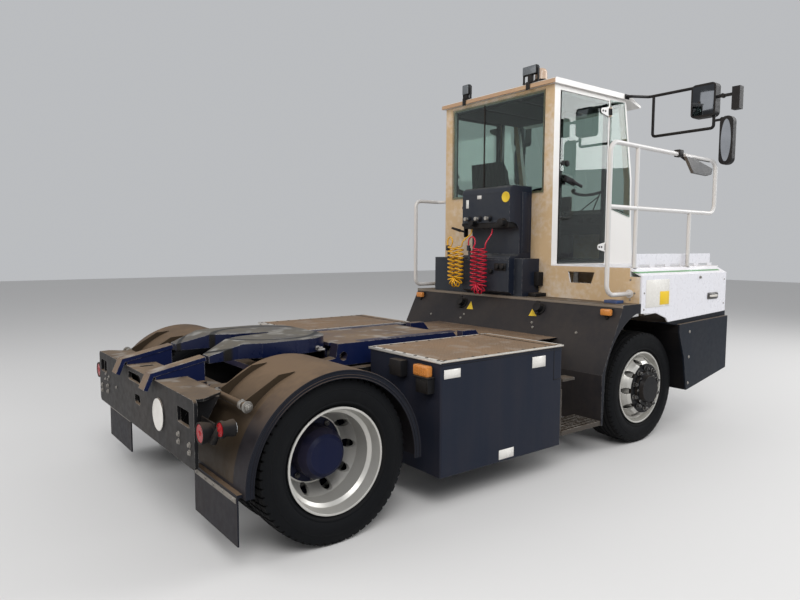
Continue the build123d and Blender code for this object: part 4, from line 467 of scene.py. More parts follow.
finish_nodes(wheel_paint("rear_wheel_paint", rear_x, 0.190, (0.003, 0.006, 0.028, 1), 0.86),
             "rims_rear_right", "rims_rear_left")
finish_nodes(wheel_paint("front_wheel_paint", front_x, 0.2045, (0.004, 0.0045, 0.006, 1), 0.98),
             "rim_front_right", "rim_front_left")
nut_circle = 0.1675
nut_count = 10
dark_nut = painted("dark_nut", (0.060, 0.060, 0.063, 1), top=0.2, rear=0.2, wear=0.9, gloss=0.32,
                   metallic=0.8)
# Columns: place of the axle, its name, how far out the disc's face is, radius of the cap's bolt ring, its face
for axle_x, axle, face_y, cap_radius, cap_y in ((rear_x, "rear", 0.913, 0.112, 1.083),
                                                (front_x, "front", 1.183, 0.129, 1.2025)):
    for side, s in both_sides:
        nuts = bmesh.new()
        for i in range(nut_count):
            angle = 2 * math.pi * (i + 0.5) / nut_count
            spot = Vector((axle_x + nut_circle * math.cos(angle), s * face_y,
                           wheel_z + nut_circle * math.sin(angle)))
            out = Vector((0, s, 0))
            add_rod(nuts, spot, spot + out * 0.005, 0.0215, sides=20, rounding=0.001)
            add_rod(nuts, spot + out * 0.004, spot + out * 0.026, 0.0175, sides=6, rounding=0.0015)
            add_rod(nuts, spot + out * 0.024, spot + out * 0.036, 0.0105, sides=16, rounding=0.001)
        for i in range(8):
            angle = 2 * math.pi * i / 8
            spot = (axle_x + cap_radius * math.cos(angle), s * (cap_y - 0.001),
                    wheel_z + cap_radius * math.sin(angle))
            if axle == "front":
                add_bolt(nuts, spot, (0, s, 0), 0.008)
        finish_piece(f"wheel_nuts_{axle}_{side}", nuts, dark_nut, f"wheel_{axle}_{side}")

# Ramp bars, lift frame and fifth wheel: thick plate and a steel casting in navy paint.
# Trailers polish the tops, where grease holds brown dust; the grease grooves on the plate stay dark.
navy = (0.0035, 0.0085, 0.042, 1)
top_film = (0.19, 0.135, 0.088, 1)
coupling_paint = painted("coupling_paint", navy, dust=top_film, top=1.1, rear=0.2, wear=0.9, gloss=0.36)
finish_nodes(coupling_paint, "lift_frame")
finish_nodes(painted("ramp_paint", navy, dust=top_film, top=1.1, rear=1.0, wear=0.9, gloss=0.40), "ramps")
kingpin_x = rear_x + 0.163
plate_paint = painted("greased_plate", navy, dust=(0.115, 0.100, 0.076, 1), top=1.1, rear=0.2, wear=1.0,
                      gloss=0.26, metallic=0.3, specular=0.5)
plate_nodes, plate_links = plate_paint.node_tree.nodes, plate_paint.node_tree.links
plate_place = plate_nodes.new("ShaderNodeTexCoord")
plate_shift = plate_nodes.new("ShaderNodeMapping")
plate_shift.inputs["Location"].default_value = (-kingpin_x, 0, -1.0)
plate_shift.inputs["Scale"].default_value = (1, 1, 0)
plate_links.new(plate_place.outputs["Object"], plate_shift.inputs["Vector"])
groove_rings = plate_nodes.new("ShaderNodeTexWave")
groove_rings.wave_type = "RINGS"
groove_rings.rings_direction = "SPHERICAL"
groove_rings.inputs["Scale"].default_value = 3.4
groove_rings.inputs["Distortion"].default_value = 0.6
plate_links.new(plate_shift.outputs["Vector"], groove_rings.inputs["Vector"])
groove_mask = plate_nodes.new("ShaderNodeMapRange")
groove_mask.inputs["From Min"].default_value = 0.90
groove_mask.inputs["From Max"].default_value = 0.97
plate_links.new(groove_rings.outputs["Fac"], groove_mask.inputs["Value"])
plate_shader = plate_nodes["Principled BSDF"]
plate_colour = plate_nodes.new("ShaderNodeMix")
plate_colour.data_type = "RGBA"
plate_colour.inputs["B"].default_value = (0.012, 0.011, 0.010, 1)
plate_links.new(plate_shader.inputs["Base Color"].links[0].from_socket, plate_colour.inputs["A"])
plate_links.new(groove_mask.outputs["Result"], plate_colour.inputs["Factor"])
plate_links.new(plate_colour.outputs["Result"], plate_shader.inputs["Base Color"])
finish_nodes(plate_paint, "fifth_wheel")

pivot_nuts = bmesh.new()
for _, s in both_sides:
    add_bolt(pivot_nuts, (rear_x + 0.150, s * 0.400, 0.900), (0, s, 0), 0.022)
finish_piece("pivot_nuts", pivot_nuts, bolt_zinc, "boom")
release_handle = bmesh.new()
add_rod(release_handle, (rear_x + 0.330, -0.395, 0.955), (rear_x + 0.330, -0.520, 0.955), 0.009,
        rounding=0.002)
add_rod(release_handle, (rear_x + 0.330, -0.514, 0.955), (rear_x + 0.285, -0.520, 0.955), 0.009,
        rounding=0.002)
for y in (-0.430, -0.475):
    add_rod(release_handle, (rear_x + 0.330, y, 0.955), (rear_x + 0.330, y - 0.010, 0.955), 0.016,
            rounding=0.002)
finish_piece("release_handle", release_handle, bare_steel, "coupling")

# Mudguards: moulded black half rings, each with a beaded lip, on a stay tube with two brackets.
# The flap of sheet rubber behind each tyre hangs from a screwed strip.
lip_black = (0.007, 0.009, 0.015, 1)
guard_dust = (0.145, 0.098, 0.062, 1)
guard_soiled = (0.034, 0.024, 0.015, 1)
guard_plastic = painted("guard_plastic", lip_black, dust=guard_dust, top=1.1, rear=0.10, wear=0.0,
                        gloss=0.45, bump=0.25,
                        other_colours=[((rear_x - 0.60, s * 0.85 - 0.25, 0.43),
                                        (rear_x + 0.05, s * 0.85 + 0.25, 1.2), guard_soiled) for _,
                                       s in both_sides])
finish_nodes(guard_plastic, "rear_mudguards")
guard_centre = Vector((rear_x, 0, 0.419))
guard_radius = 0.552
guard_foot = 0.390
for side, s in both_sides:
    beads = bmesh.new()
    low_angle = math.asin((guard_foot - guard_centre.z) / guard_radius)
    for radius, bead in ((guard_radius - 0.004, 0.0050), (guard_radius - 0.030, 0.0030),
                         (guard_radius - 0.045, 0.0035)):
        ring = bmesh.ops.create_circle(beads, segments=10, radius=bead, cap_ends=True)["verts"]
        start = guard_centre + Vector((radius * math.cos(low_angle), s * 1.2455,
                                       radius * math.sin(low_angle)))
        bmesh.ops.translate(beads, vec=start, verts=ring)
        faces = list({face for vert in ring for face in vert.link_faces})
        bmesh.ops.spin(beads, geom=faces, cent=guard_centre, axis=(0, -1, 0), dvec=(0, 0, 0),
                       angle=math.pi - 2 * low_angle, steps=56, use_merge=False, use_duplicate=False)
    finish_piece(f"guard_beads_{side}", beads, guard_plastic, "vehicle", 50)
    # Flap strip with its screws, and the tube's end nut, washer and saddle clamps
    fixings = bmesh.new()
    flap_x = rear_x - 0.580
    add_block(fixings, (flap_x - 0.004, flap_x), (s * 0.650, s * 1.200), (0.368, 0.396), 0.001)
    for y in (0.680, 0.810, 0.920, 1.040, 1.170):
        add_bolt(fixings, (flap_x - 0.004, s * y, 0.382), rearwards, 0.007)
    tube_x, tube_z = rear_x - 0.470, 0.812
    add_rod(fixings, (tube_x, s * 1.100, tube_z), (tube_x, s * 1.106, tube_z), 0.031, rounding=0.002)
    add_rod(fixings, (tube_x, s * 1.106, tube_z), (tube_x, s * 1.124, tube_z), 0.021, sides=6, rounding=0.002)
    add_rod(fixings, (tube_x, s * 1.122, tube_z), (tube_x, s * 1.131, tube_z), 0.011, rounding=0.001)
    for y in (0.690, 1.030):
        add_rod(fixings, (tube_x, s * y, tube_z), (tube_x, s * (y + 0.030), tube_z), 0.025, rounding=0.002)
        add_bolt(fixings, (tube_x, s * (y + 0.015), tube_z + 0.023), upwards, 0.008)
    finish_piece(f"guard_fixings_{side}", fixings, bolt_zinc, "vehicle")

# Tail lamps: a round combination lamp on a pressed plate, and a rubber outline lamp on its arm.
# Bodies are black moulded rubber; lenses are ribbed acrylic, red behind and white ahead.
black_rubber = painted("black_rubber", (0.007, 0.007, 0.008, 1), top=0.3, rear=0.08, wear=0.0, gloss=0.55,
                       bump=0.3)


def lens(name, colour, glow=0.25):
    """Clear-coated acrylic with fine ribs."""
    material = bpy.data.materials.new(name)
    material.use_nodes = True
    nodes, links = material.node_tree.nodes, material.node_tree.links
    shader = nodes["Principled BSDF"]
    shader.inputs["Transmission Weight"].default_value = glow
    shader.inputs["Coat Weight"].default_value = 0.12
    shader.inputs["Specular IOR Level"].default_value = 0.2
    place = nodes.new("ShaderNodeTexCoord")
    specks = nodes.new("ShaderNodeTexNoise")
    specks.inputs["Scale"].default_value = 60
    links.new(place.outputs["Object"], specks.inputs["Vector"])
    shade = nodes.new("ShaderNodeMix")
    shade.data_type = "RGBA"
    shade.inputs["A"].default_value = (*[c * 0.7 for c in colour[:3]], 1)
    shade.inputs["B"].default_value = colour
    links.new(specks.outputs["Fac"], shade.inputs["Factor"])
    links.new(shade.outputs["Result"], shader.inputs["Base Color"])
    rough = nodes.new("ShaderNodeMapRange")
    rough.inputs["To Min"].default_value = 0.10
    rough.inputs["To Max"].default_value = 0.28
    links.new(specks.outputs["Fac"], rough.inputs["Value"])
    links.new(rough.outputs["Result"], shader.inputs["Roughness"])
    cells = nodes.new("ShaderNodeTexVoronoi")
    cells.inputs["Scale"].default_value = 260
    links.new(place.outputs["Object"], cells.inputs["Vector"])
    relief = nodes.new("ShaderNodeBump")
    relief.inputs["Strength"].default_value = 0.35
    relief.inputs["Distance"].default_value = 0.001
    links.new(cells.outputs["Distance"], relief.inputs["Height"])
    links.new(relief.outputs["Normal"], shader.inputs["Normal"])
    return material


red_lens = lens("red_lens", (0.30, 0.003, 0.006, 1), 0.0)
amber_lens = lens("amber_lens", (0.62, 0.235, 0.055, 1), 0.0)
clear_lens = lens("clear_lens", (0.80, 0.82, 0.84, 1), 0.35)


def dome(length, radius, ribs=3):
    """Profile of a ribbed lens whose rim has the given radius."""
    rows = [(0.0, radius), (length * 0.45, radius)]
    for i in range(ribs):
        inner = radius * (0.94 - 0.26 * i)
        rows += [(length * (0.62 + 0.10 * i), inner), (length * (0.56 + 0.10 * i), inner - 0.0025)]
    return rows + [(length, radius * 0.25), (length, 0.0)]


lamp_face_x = rear_x - 0.695
outline_x = (rear_x - 0.645, rear_x - 0.555)
for side, s in both_sides:
    bodies = bmesh.new()
    round_lamp = Vector((lamp_face_x, s * 1.034, 0.700))
    outline = Vector((0, s * 1.157, 0.737))
    add_block(bodies, (rear_x - 0.636, rear_x - 0.628), (s * 0.900, s * 1.085), (0.648, 0.752), 0.003)
    add_block(bodies, (rear_plate_x + 0.020, rear_x - 0.632), (s * 0.900, s * 0.912), (0.648, 0.692), 0.002)
    add_lathe(bodies, [(0.008, 0.0), (0.008, 0.046), (0.0, 0.049), (0.0, 0.056), (0.016, 0.056),
                       (0.042, 0.050), (0.060, 0.044), (0.060, 0.0)], round_lamp, forwards, 48)
    # Rubber arm: three blocks that lean outwards, and the cup of the outline lamp
    for t in (0.0, 0.33, 0.66):
        a = Vector((rear_x - 0.636, s * (1.062 + 0.085 * t), 0.655 + 0.082 * t))
        b = Vector((rear_x - 0.636, s * (1.062 + 0.085 * (t + 0.34)), 0.655 + 0.082 * (t + 0.34)))
        add_rod(bodies, a, b, 0.021 - 0.004 * t, 0.019 - 0.004 * t, sides=16, rounding=0.002)
    add_lathe(bodies, [(outline_x[0] + 0.012, 0.0), (outline_x[0] + 0.012, 0.034),
                       (outline_x[0] + 0.006, 0.043), (outline_x[0] + 0.022, 0.043),
                       (outline_x[0] + 0.032, 0.038), (outline_x[0] + 0.046, 0.038),
                       (outline_x[1] - 0.026, 0.043), (outline_x[1] - 0.012, 0.043),
                       (outline_x[1] - 0.010, 0.034), (outline_x[1] - 0.014, 0.0)], outline, forwards, 48)
    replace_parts(finish_piece(f"tail_lamp_bodies_{side}", bodies, black_rubber, "vehicle"),
                "tail_lamps")
    lenses = bmesh.new()
    add_lathe(lenses, dome(-0.012, 0.0475), round_lamp + Vector((0.010, 0, 0)), forwards, 48)
    add_lathe(lenses, dome(-0.016, 0.035), outline + Vector((outline_x[0] + 0.014, 0, 0)), forwards, 48)
    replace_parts(finish_piece(f"red_lenses_{side}", lenses, red_lens, "vehicle"), "tail_lamps")
    white = bmesh.new()
    add_lathe(white, dome(0.015, 0.035), outline + Vector((outline_x[1] - 0.015, 0, 0)), forwards, 48)
    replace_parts(finish_piece(f"white_lens_{side}", white, clear_lens, "vehicle"), "tail_lamps")

# Marker lamps: amber blocks with moulded ribs, on black bracket boxes at the box corners.
# Two smaller ones are screwed to the slanted sheet under the ends of the ledge.
black_plastic = painted("black_plastic", (0.008, 0.0085, 0.010, 1), top=0.3, rear=0.06, wear=0.0, gloss=0.45,
                        bump=0.3)
marker_x = (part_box("marker_lamps")[0].x, rear_x + 0.701)
for side, s in both_sides:
    brackets = bmesh.new()
    add_block(brackets, (marker_x[0] + 0.004, marker_x[1] + 0.004), (s * 1.070, s * 1.190), (0.735, 0.826),
              0.006)
    add_block(brackets, (marker_x[0] + 0.001, marker_x[0] + 0.004), (s * 1.084, s * 1.176), (0.748, 0.812),
              0.002)
    add_block(brackets, (marker_x[0], marker_x[1] + 0.004), (s * 1.050, s * 1.192), (0.826, 0.836), 0.002)
    high_x = rear_x + 2.314 + 0.498 * (1.121 - 0.660)
    add_block(brackets, (high_x - 0.022, high_x + 0.006), (s * 1.106, s * 1.174), (1.088, 1.150), 0.004)
    add_rod(brackets, (high_x - 0.034, s * 1.140, 1.082), (high_x - 0.010, s * 1.140, 1.060), 0.013,
            rounding=0.002)
    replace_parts(finish_piece(f"marker_brackets_{side}", brackets, black_plastic, "vehicle"),
                "marker_lamps")
    lenses = bmesh.new()
    add_block(lenses, (marker_x[0] + 0.006, marker_x[1] - 0.004), (s * 1.040, s * 1.178), (0.836, 0.9035),
              0.009)
    for i in range(6):
        y = 1.050 + 0.0205 * i
        add_block(lenses, (marker_x[0] + 0.003, marker_x[0] + 0.008), (s * y, s * (y + 0.008)),
                  (0.845, 0.895), 0.0015)
    for z in (0.852, 0.870, 0.886):
        add_block(lenses, (marker_x[0] + 0.0045, marker_x[0] + 0.008), (s * 1.050, s * 1.168),
                  (z, z + 0.005), 0.001)
    add_block(lenses, (high_x - 0.058, high_x - 0.021), (s * 1.094, s * 1.186), (1.096, 1.147), 0.009)
    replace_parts(finish_piece(f"marker_lenses_{side}", lenses, amber_lens, "vehicle"),
                "marker_lamps")

# Battery boxes: folded sheet in dark blue-grey powder coat, with a chequered walking deck in two plates.
# A worn angle runs round the deck's edges, held by countersunk screws; the small plates are plain white.
panel_blue = (0.0105, 0.0145, 0.026, 1)
deck_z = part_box("battery_box_right")[1].z
box_x = (rear_x + 0.701, rear_x + 1.850)
deck_brown = (0.225, 0.150, 0.094, 1)
box_coat = painted("box_coat", panel_blue, dust=deck_brown, top=1.1, rear=0.03, wear=0.4, gloss=0.36,
                   other_colours=[((-9, -9, deck_z - 0.011), (9, 9, 9), (0.15, 0.115, 0.085, 1))])


def add_chequer(material, pitch, low_z):
    """Raised lozenges on the faces above a height, as more bump in front of the paint's own."""
    nodes, links = material.node_tree.nodes, material.node_tree.links
    place = nodes.new("ShaderNodeTexCoord")
    axes = nodes.new("ShaderNodeSeparateXYZ")
    links.new(place.outputs["Object"], axes.inputs[0])

    def maths(operation, a, b=0.0):
        node = nodes.new("ShaderNodeMath")
        node.operation = operation
        for socket, value in zip(node.inputs, (a, b)):
            if isinstance(value, (int, float)):
                socket.default_value = value
            else:
                links.new(value, socket)
        return node.outputs[0]

    rate = math.pi / pitch
    along = maths("SINE", maths("MULTIPLY", maths("ADD", axes.outputs["X"], axes.outputs["Y"]), rate))
    across = maths("SINE", maths("MULTIPLY", maths("SUBTRACT", axes.outputs["X"], axes.outputs["Y"]), rate))
    lobes = maths("ABSOLUTE", maths("MULTIPLY", along, across))
    raised = nodes.new("ShaderNodeMapRange")
    raised.inputs["From Min"].default_value = 0.45
    raised.inputs["From Max"].default_value = 0.80
    links.new(lobes, raised.inputs["Value"])
    height = maths("MULTIPLY", raised.outputs["Result"], maths("GREATER_THAN", axes.outputs["Z"], low_z))
    shader = nodes["Principled BSDF"]
    plate = nodes.new("ShaderNodeBump")
    plate.inputs["Strength"].default_value = 0.7
    plate.inputs["Distance"].default_value = 0.002
    links.new(height, plate.inputs["Height"])
    links.new(shader.inputs["Normal"].links[0].from_socket, plate.inputs["Normal"])
    links.new(plate.outputs["Normal"], shader.inputs["Normal"])


add_chequer(box_coat, 0.030, deck_z - 0.001)
finish_nodes(box_coat, "battery_box_right", "battery_box_left")
worn_edge = painted("worn_edge", (0.64, 0.61, 0.56, 1), dust=deck_brown, top=0.25, rear=0.10, wear=0.5,
                    gloss=0.35, metallic=0.3, specular=0.5)
strip = 0.036
for side, s in both_sides:
    edging = bmesh.new()
    inner_y, outer_y = 0.494, 1.250
    top = (deck_z - 0.0005, deck_z + 0.0022)
    add_block(edging, (box_x[0] - 0.0015, box_x[0] + strip), (s * inner_y, s * (outer_y + 0.001)), top,
              0.0008)
    add_block(edging, box_x, (s * (outer_y - 0.014), s * (outer_y + 0.0015)), top, 0.0008)
    add_block(edging, box_x, (s * inner_y, s * (inner_y + 0.010)), top, 0.0008)
    add_block(edging, (box_x[1] - 0.012, box_x[1] + 0.001), (s * inner_y, s * outer_y), top, 0.0008)
    add_block(edging, (box_x[0] - 0.0015, box_x[0]), (s * inner_y, s * (outer_y + 0.001)),
              (deck_z - 0.014, top[1]), 0.0006)
    add_block(edging, box_x, (s * outer_y, s * (outer_y + 0.0015)), (deck_z - 0.008, top[1]), 0.0006)
    finish_piece(f"deck_edging_{side}", edging, worn_edge, "vehicle")
    screws = bmesh.new()
    for i in range(7):
        spot = Vector((box_x[0] + strip / 2, s * (inner_y + 0.04 + 0.112 * i), top[1]))
        add_rod(screws, spot - Vector((0, 0, 0.001)), spot + Vector((0, 0, 0.0022)), 0.014, 0.010, sides=16)
    for i in range(10):
        for y in (outer_y - 0.028, inner_y + 0.024):
            spot = Vector((box_x[0] + 0.06 + 0.116 * i, s * y, deck_z))
            add_rod(screws, spot, spot + Vector((0, 0, 0.0026)), 0.011, 0.008, sides=16)
    add_block(screws, (rear_x + 1.751, rear_x + 1.764), (s * inner_y, s * outer_y),
              (deck_z - 0.004, deck_z + 0.0026), 0.0008)
    finish_piece(f"deck_screws_{side}", screws, black_plastic, "vehicle")
    # Door seams of the box: two shallow cover strips on the outer face, and the junction box behind
    seams = bmesh.new()
    add_block(seams, (box_x[1] - 0.098, box_x[1] - 0.092), (s * 1.2435, s * 1.2452), (0.700, 0.922), 0.0004)
    add_block(seams, (box_x[1] - 0.098, box_x[1] - 0.008), (s * 1.2435, s * 1.2452), (0.697, 0.702), 0.0004)
    add_block(seams, (box_x[0] + 0.010, box_x[1] - 0.010), (s * 1.2435, s * 1.2450), (0.908, 0.912), 0.0004)
    add_block(seams, (box_x[0] - 0.052, box_x[0] + 0.008), (s * 0.800, s * 0.920), (0.800, 0.905), 0.006)
    add_rod(seams, (box_x[0] - 0.022, s * 0.800, 0.850), (box_x[0] - 0.022, s * 0.770, 0.850), 0.014,
            rounding=0.002)
    finish_piece(f"box_seams_{side}", seams, black_plastic, "vehicle")
blank_plates = bmesh.new()
for x, z in (((0.731, 0.866), (0.828, 0.884)), ((1.528, 1.664), (0.806, 0.882)),
             ((1.216, 1.358), (0.232, 0.296))):
    add_block(blank_plates, (rear_x + x[0], rear_x + x[1]), (-1.2448, -1.2435), z, 0.0005)
finish_piece("blank_plates", blank_plates, white_enamel, "vehicle")

# Bulkhead: slanted sheet in the same powder coat, brown with dust, under a ledge of tread plate.
# It carries two round sockets on black mounts, and plain yellow triangles.
bulkhead_coat = painted("bulkhead_coat", (0.0100, 0.0115, 0.0165, 1), dust=(0.165, 0.122, 0.082, 1), top=1.1,
                        rear=0.16, wear=0.5, gloss=0.38)
add_chequer(bulkhead_coat, 0.026, 1.1785)
finish_nodes(bulkhead_coat, "bulkhead")
slope = Vector((0.498, 0, 1)).normalized()
slope_out = Vector((-1, 0, 0.498)).normalized()


def on_slope(y, z, out=0.0):
    """Point on the slanted sheet at a height, lifted off it by out."""
    return Vector((rear_x + 2.314 + 0.498 * (z - 0.660), y, z)) + slope_out * out


sockets = bmesh.new()
for y, z in ((0.495, 1.078), (-0.465, 1.092)):
    foot = on_slope(y, z)
    add_rod(sockets, foot, foot + slope_out * 0.012, 0.052, sides=32, rounding=0.002)
    add_rod(sockets, foot + slope_out * 0.010, foot + slope_out * 0.052, 0.036, 0.033, sides=32,
            rounding=0.003)
    add_rod(sockets, foot + slope_out * 0.050, foot + slope_out * 0.062, 0.041, sides=32, rounding=0.004)
    add_rod(sockets, foot + slope_out * 0.056 + slope * 0.046 + Vector((0, -0.018, 0)),
            foot + slope_out * 0.056 + slope * 0.046 + Vector((0, 0.018, 0)), 0.008, rounding=0.001)
    add_rod(sockets, foot + slope_out * 0.030 - slope * 0.032, foot + slope_out * 0.030 - slope * 0.062,
            0.013, rounding=0.002)
finish_piece("bulkhead_sockets", sockets, black_plastic, "vehicle")
fasteners = bmesh.new()
for y, z in ((0.459, 0.939), (-0.446, 0.938), (-0.420, 0.975), (0.430, 0.975), (0.900, 0.939),
             (-0.900, 0.939)):
    add_bolt(fasteners, on_slope(y, z), slope_out, 0.009)
finish_piece("bulkhead_bolts", fasteners, bolt_zinc, "vehicle")
warning_yellow = painted("warning_yellow", (0.74, 0.50, 0.03, 1), top=0.2, rear=0.2, wear=0.3, gloss=0.3,
                         bump=0.05)


def add_prism(shape, outline, shift):
    """Flat outline of points, extruded by a shift."""
    face = shape.faces.new([shape.verts.new(point) for point in outline])
    grown = bmesh.ops.extrude_face_region(shape, geom=[face])["geom"]
    bmesh.ops.translate(shape, vec=shift,
                        verts=[item for item in grown if isinstance(item, bmesh.types.BMVert)])


triangles = bmesh.new()
for tip, left, right in (((0.396, 1.101), (0.420, 1.024), (0.334, 1.028)),
                         ((-0.378, 1.086), (-0.362, 1.026), (-0.452, 1.030))):
    add_prism(triangles, [on_slope(y, z, 0.0005) for y, z in (tip, left, right)], slope_out * 0.0015)
finish_piece("blank_triangles", triangles, warning_yellow, "vehicle")
# Frame deck between the bulkhead and the boxes: chequered plate over the rails, brown with dust.
# Two navy cheeks stand on it in line with the lift frame's beams, and slope down at their front ends;
# thin navy caps cover the tops of the beams and rise with them.
deck_plate = painted("deck_plate", panel_blue, dust=deck_brown, top=1.1, rear=0.1, wear=0.5, gloss=0.4)
add_chequer(deck_plate, 0.030, 0.8835)
frame_deck = bmesh.new()
add_block(frame_deck, (rear_x + 1.745, rear_x + 1.857), (-0.462, 0.462), (0.7915, 0.8840), 0.004)
add_block(frame_deck, (rear_x + 1.850, rear_x + 2.372), (-0.455, 0.455), (0.7920, 0.8770), 0.004)
add_block(frame_deck, (rear_x + 1.858, rear_x + 2.422), (-0.735, 0.735), (0.8785, 0.8840), 0.0015)
finish_piece("frame_deck", frame_deck, deck_plate, "vehicle")
cheeks = bmesh.new()
for _, s in both_sides:
    add_prism(cheeks, [Vector((rear_x + x, s * 0.300, z)) for x, z in
                       ((1.706, 0.884), (1.706, 0.954), (1.850, 0.954), (1.915, 0.884))], (0, s * 0.066, 0))
finish_piece("deck_cheeks", cheeks, coupling_paint, "vehicle")
beam_caps = bmesh.new()
for _, s in both_sides:
    add_block(beam_caps, (rear_x + 0.730, rear_x + 1.640), (s * 0.286, s * 0.366), (0.9540, 0.9572), 0.0008)
finish_piece("beam_caps", beam_caps,
             painted("beam_paint", navy, dust=top_film, top=0.25, rear=0.2, wear=1.0, gloss=0.36), "boom")

ledge_x = (rear_x + 2.560, rear_x + 2.803)
ledge_edge = bmesh.new()
add_block(ledge_edge, (ledge_x[0] - 0.0025, ledge_x[0] + 0.016), (-1.250, 1.250), (1.1775, 1.1815), 0.0008)
add_block(ledge_edge, (ledge_x[0] - 0.0025, ledge_x[0] + 0.0005), (-1.250, 1.250), (1.156, 1.1815), 0.0008)
finish_piece("ledge_edge", ledge_edge,
             painted("ledge_wear", (0.30, 0.27, 0.23, 1), dust=deck_brown, top=0.7, rear=0.55, wear=0.9,
                     gloss=0.42, metallic=0.5), "vehicle")
cover_blue = painted("cover_blue", (0.045, 0.085, 0.21, 1), top=0.4, rear=0.25, wear=0.3, gloss=0.4)
blue_cover = bmesh.new()
add_block(blue_cover, (rear_x + 2.640, rear_x + 2.735), (-1.140, -1.020), (1.1795, 1.205), 0.004)
finish_piece("blue_cover", blue_cover, cover_blue, "vehicle")

# Front lockers and wheel arches: the same coat, with less dust where no wheel throws it.
locker_coat = painted("locker_coat", (0.0055, 0.0095, 0.017, 1), top=0.9, rear=0.02, wear=0.3, gloss=0.36,
                      other_colours=[((rear_x + 3.0, -1.235, 0), (rear_x + 3.62, 1.235, 0.965),
                                      (0.004, 0.0045, 0.006, 1))])
finish_nodes(locker_coat, "front_lockers")
locker_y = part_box("front_lockers")[1].y
locker_bolts = bmesh.new()
for _, s in both_sides:
    for z in (0.446, 0.676, 0.897):
        add_rod(locker_bolts, (rear_x + 3.572, s * (locker_y - 0.001), z),
                (rear_x + 3.572, s * (locker_y + 0.004), z), 0.014, 0.010, sides=20)
finish_piece("locker_bolts", locker_bolts, bolt_zinc, "vehicle")

# Service column: folded cabinet behind the cab, with a row of air and electric sockets under its head.
# Small plain plates are stuck to its head; the shut-off levers stand on its left side.
column_coat = painted("column_coat", panel_blue, dust=(0.090, 0.086, 0.068, 1), top=0.6, rear=0.20, wear=0.5,
                      gloss=0.30, specular=0.25)
finish_nodes(column_coat, "service_column")
column_x = rear_x + 2.500
fittings = bmesh.new()
brass = bmesh.new()
for y in (0.127, 0.260, 0.400):
    add_lathe(brass, [(0.0, 0.0), (0.0, 0.016), (0.010, 0.016), (0.010, 0.0125), (0.022, 0.0125),
                      (0.022, 0.0175), (0.032, 0.0175), (0.032, 0.0)], (column_x - 0.034, y, 1.888),
              rearwards, 32)
    add_rod(fittings, (column_x - 0.002, y, 1.888), (column_x - 0.012, y, 1.888), 0.029, sides=6,
            rounding=0.002)
finish_piece("air_sockets", brass,
             painted("socket_metal", (0.42, 0.40, 0.36, 1), top=0.3, rear=0.2, wear=0.4, gloss=0.3,
                     metallic=0.85), "vehicle")
for y, z, r in ((-0.045, 1.845, 0.034), (0.330, 1.845, 0.026)):
    add_lathe(fittings, [(0.0, 0.0), (0.0, r * 1.25), (0.006, r * 1.25), (0.008, r), (0.040, r * 0.92),
                         (0.042, r * 1.08), (0.052, r * 1.08), (0.056, r * 0.9), (0.056, 0.0)],
              (column_x, y, z), rearwards, 32)
# Manifold under the head, levers and knobs on the left side, and the socket on the low housing
add_block(fittings, (column_x + 0.006, column_x + 0.100), (-0.104, 0.488), (1.798, 1.8495), 0.004)
add_block(fittings, (column_x + 0.030, column_x + 0.080), (0.497, 0.512), (1.720, 2.020), 0.004)
for z in (2.005, 1.840):
    add_rod(fittings, (column_x + 0.050, 0.508, z), (column_x + 0.050, 0.540, z), 0.022, 0.019,
            rounding=0.003)
add_rod(fittings, (column_x + 0.050, 0.510, 1.770), (column_x + 0.020, 0.560, 1.785), 0.010, rounding=0.002)
add_rod(fittings, (column_x + 0.024, 0.553, 1.783), (column_x - 0.010, 0.640, 1.812), 0.014, 0.011,
        rounding=0.003)
add_block(fittings, (column_x - 0.010, column_x + 0.001), (-0.085, 0.060), (1.410, 1.478), 0.003)
for y in (-0.050, 0.012):
    add_rod(fittings, (column_x - 0.008, y, 1.445), (column_x - 0.034, y, 1.445), 0.024, 0.022,
            rounding=0.003)
add_rod(fittings, (column_x, 0.100, 1.400), (column_x - 0.030, 0.100, 1.400), 0.022, 0.020, rounding=0.004)
finish_piece("column_fittings", fittings, black_plastic, "vehicle")
column_plates = bmesh.new()
add_block(column_plates, (column_x - 0.0015, column_x), (0.243, 0.298), (2.072, 2.106), 0.0004)
add_block(column_plates, (column_x - 0.0015, column_x), (0.412, 0.448), (1.992, 2.072), 0.0004)
finish_piece("column_plates", column_plates, white_enamel, "vehicle")
yellow_disc = bmesh.new()
add_lathe(yellow_disc, [(0.0, 0.0), (0.0016, 0.0), (0.0016, 0.036), (0.0026, 0.0375), (0.0026, 0.0465),
                        (0.001, 0.0480), (0.0, 0.0480)], (column_x - 0.004, -0.067, 2.074), rearwards, 48)
finish_piece("yellow_disc", yellow_disc, warning_yellow, "vehicle")
# Door of the cabinet: raised panel with its hinge line and latch on the side that faces right
cabinet_trim = bmesh.new()
add_block(cabinet_trim, (column_x + 0.175, column_x + 0.270), (-0.1145, -0.1125), (1.575, 2.120), 0.0006)
add_rod(cabinet_trim, (column_x + 0.165, -0.116, 1.570), (column_x + 0.165, -0.116, 2.125), 0.005,
        rounding=0.001)
add_block(cabinet_trim, (column_x - 0.001, column_x + 0.001), (-0.105, 0.490), (1.862, 1.866), 0.0004)
add_block(cabinet_trim, (column_x - 0.001, column_x + 0.001), (-0.105, 0.490), (1.505, 1.509), 0.0004)
finish_piece("cabinet_trim", cabinet_trim, column_coat, "vehicle")
side_box = bmesh.new()
add_block(side_box, (rear_x + 2.735, rear_x + 2.802), (-0.262, -0.190), (1.275, 1.400), 0.004)
add_block(side_box, (rear_x + 2.660, rear_x + 2.802), (-0.300, -0.195), (1.1805, 1.212), 0.004)
finish_piece("side_box", side_box, black_plastic, "vehicle")

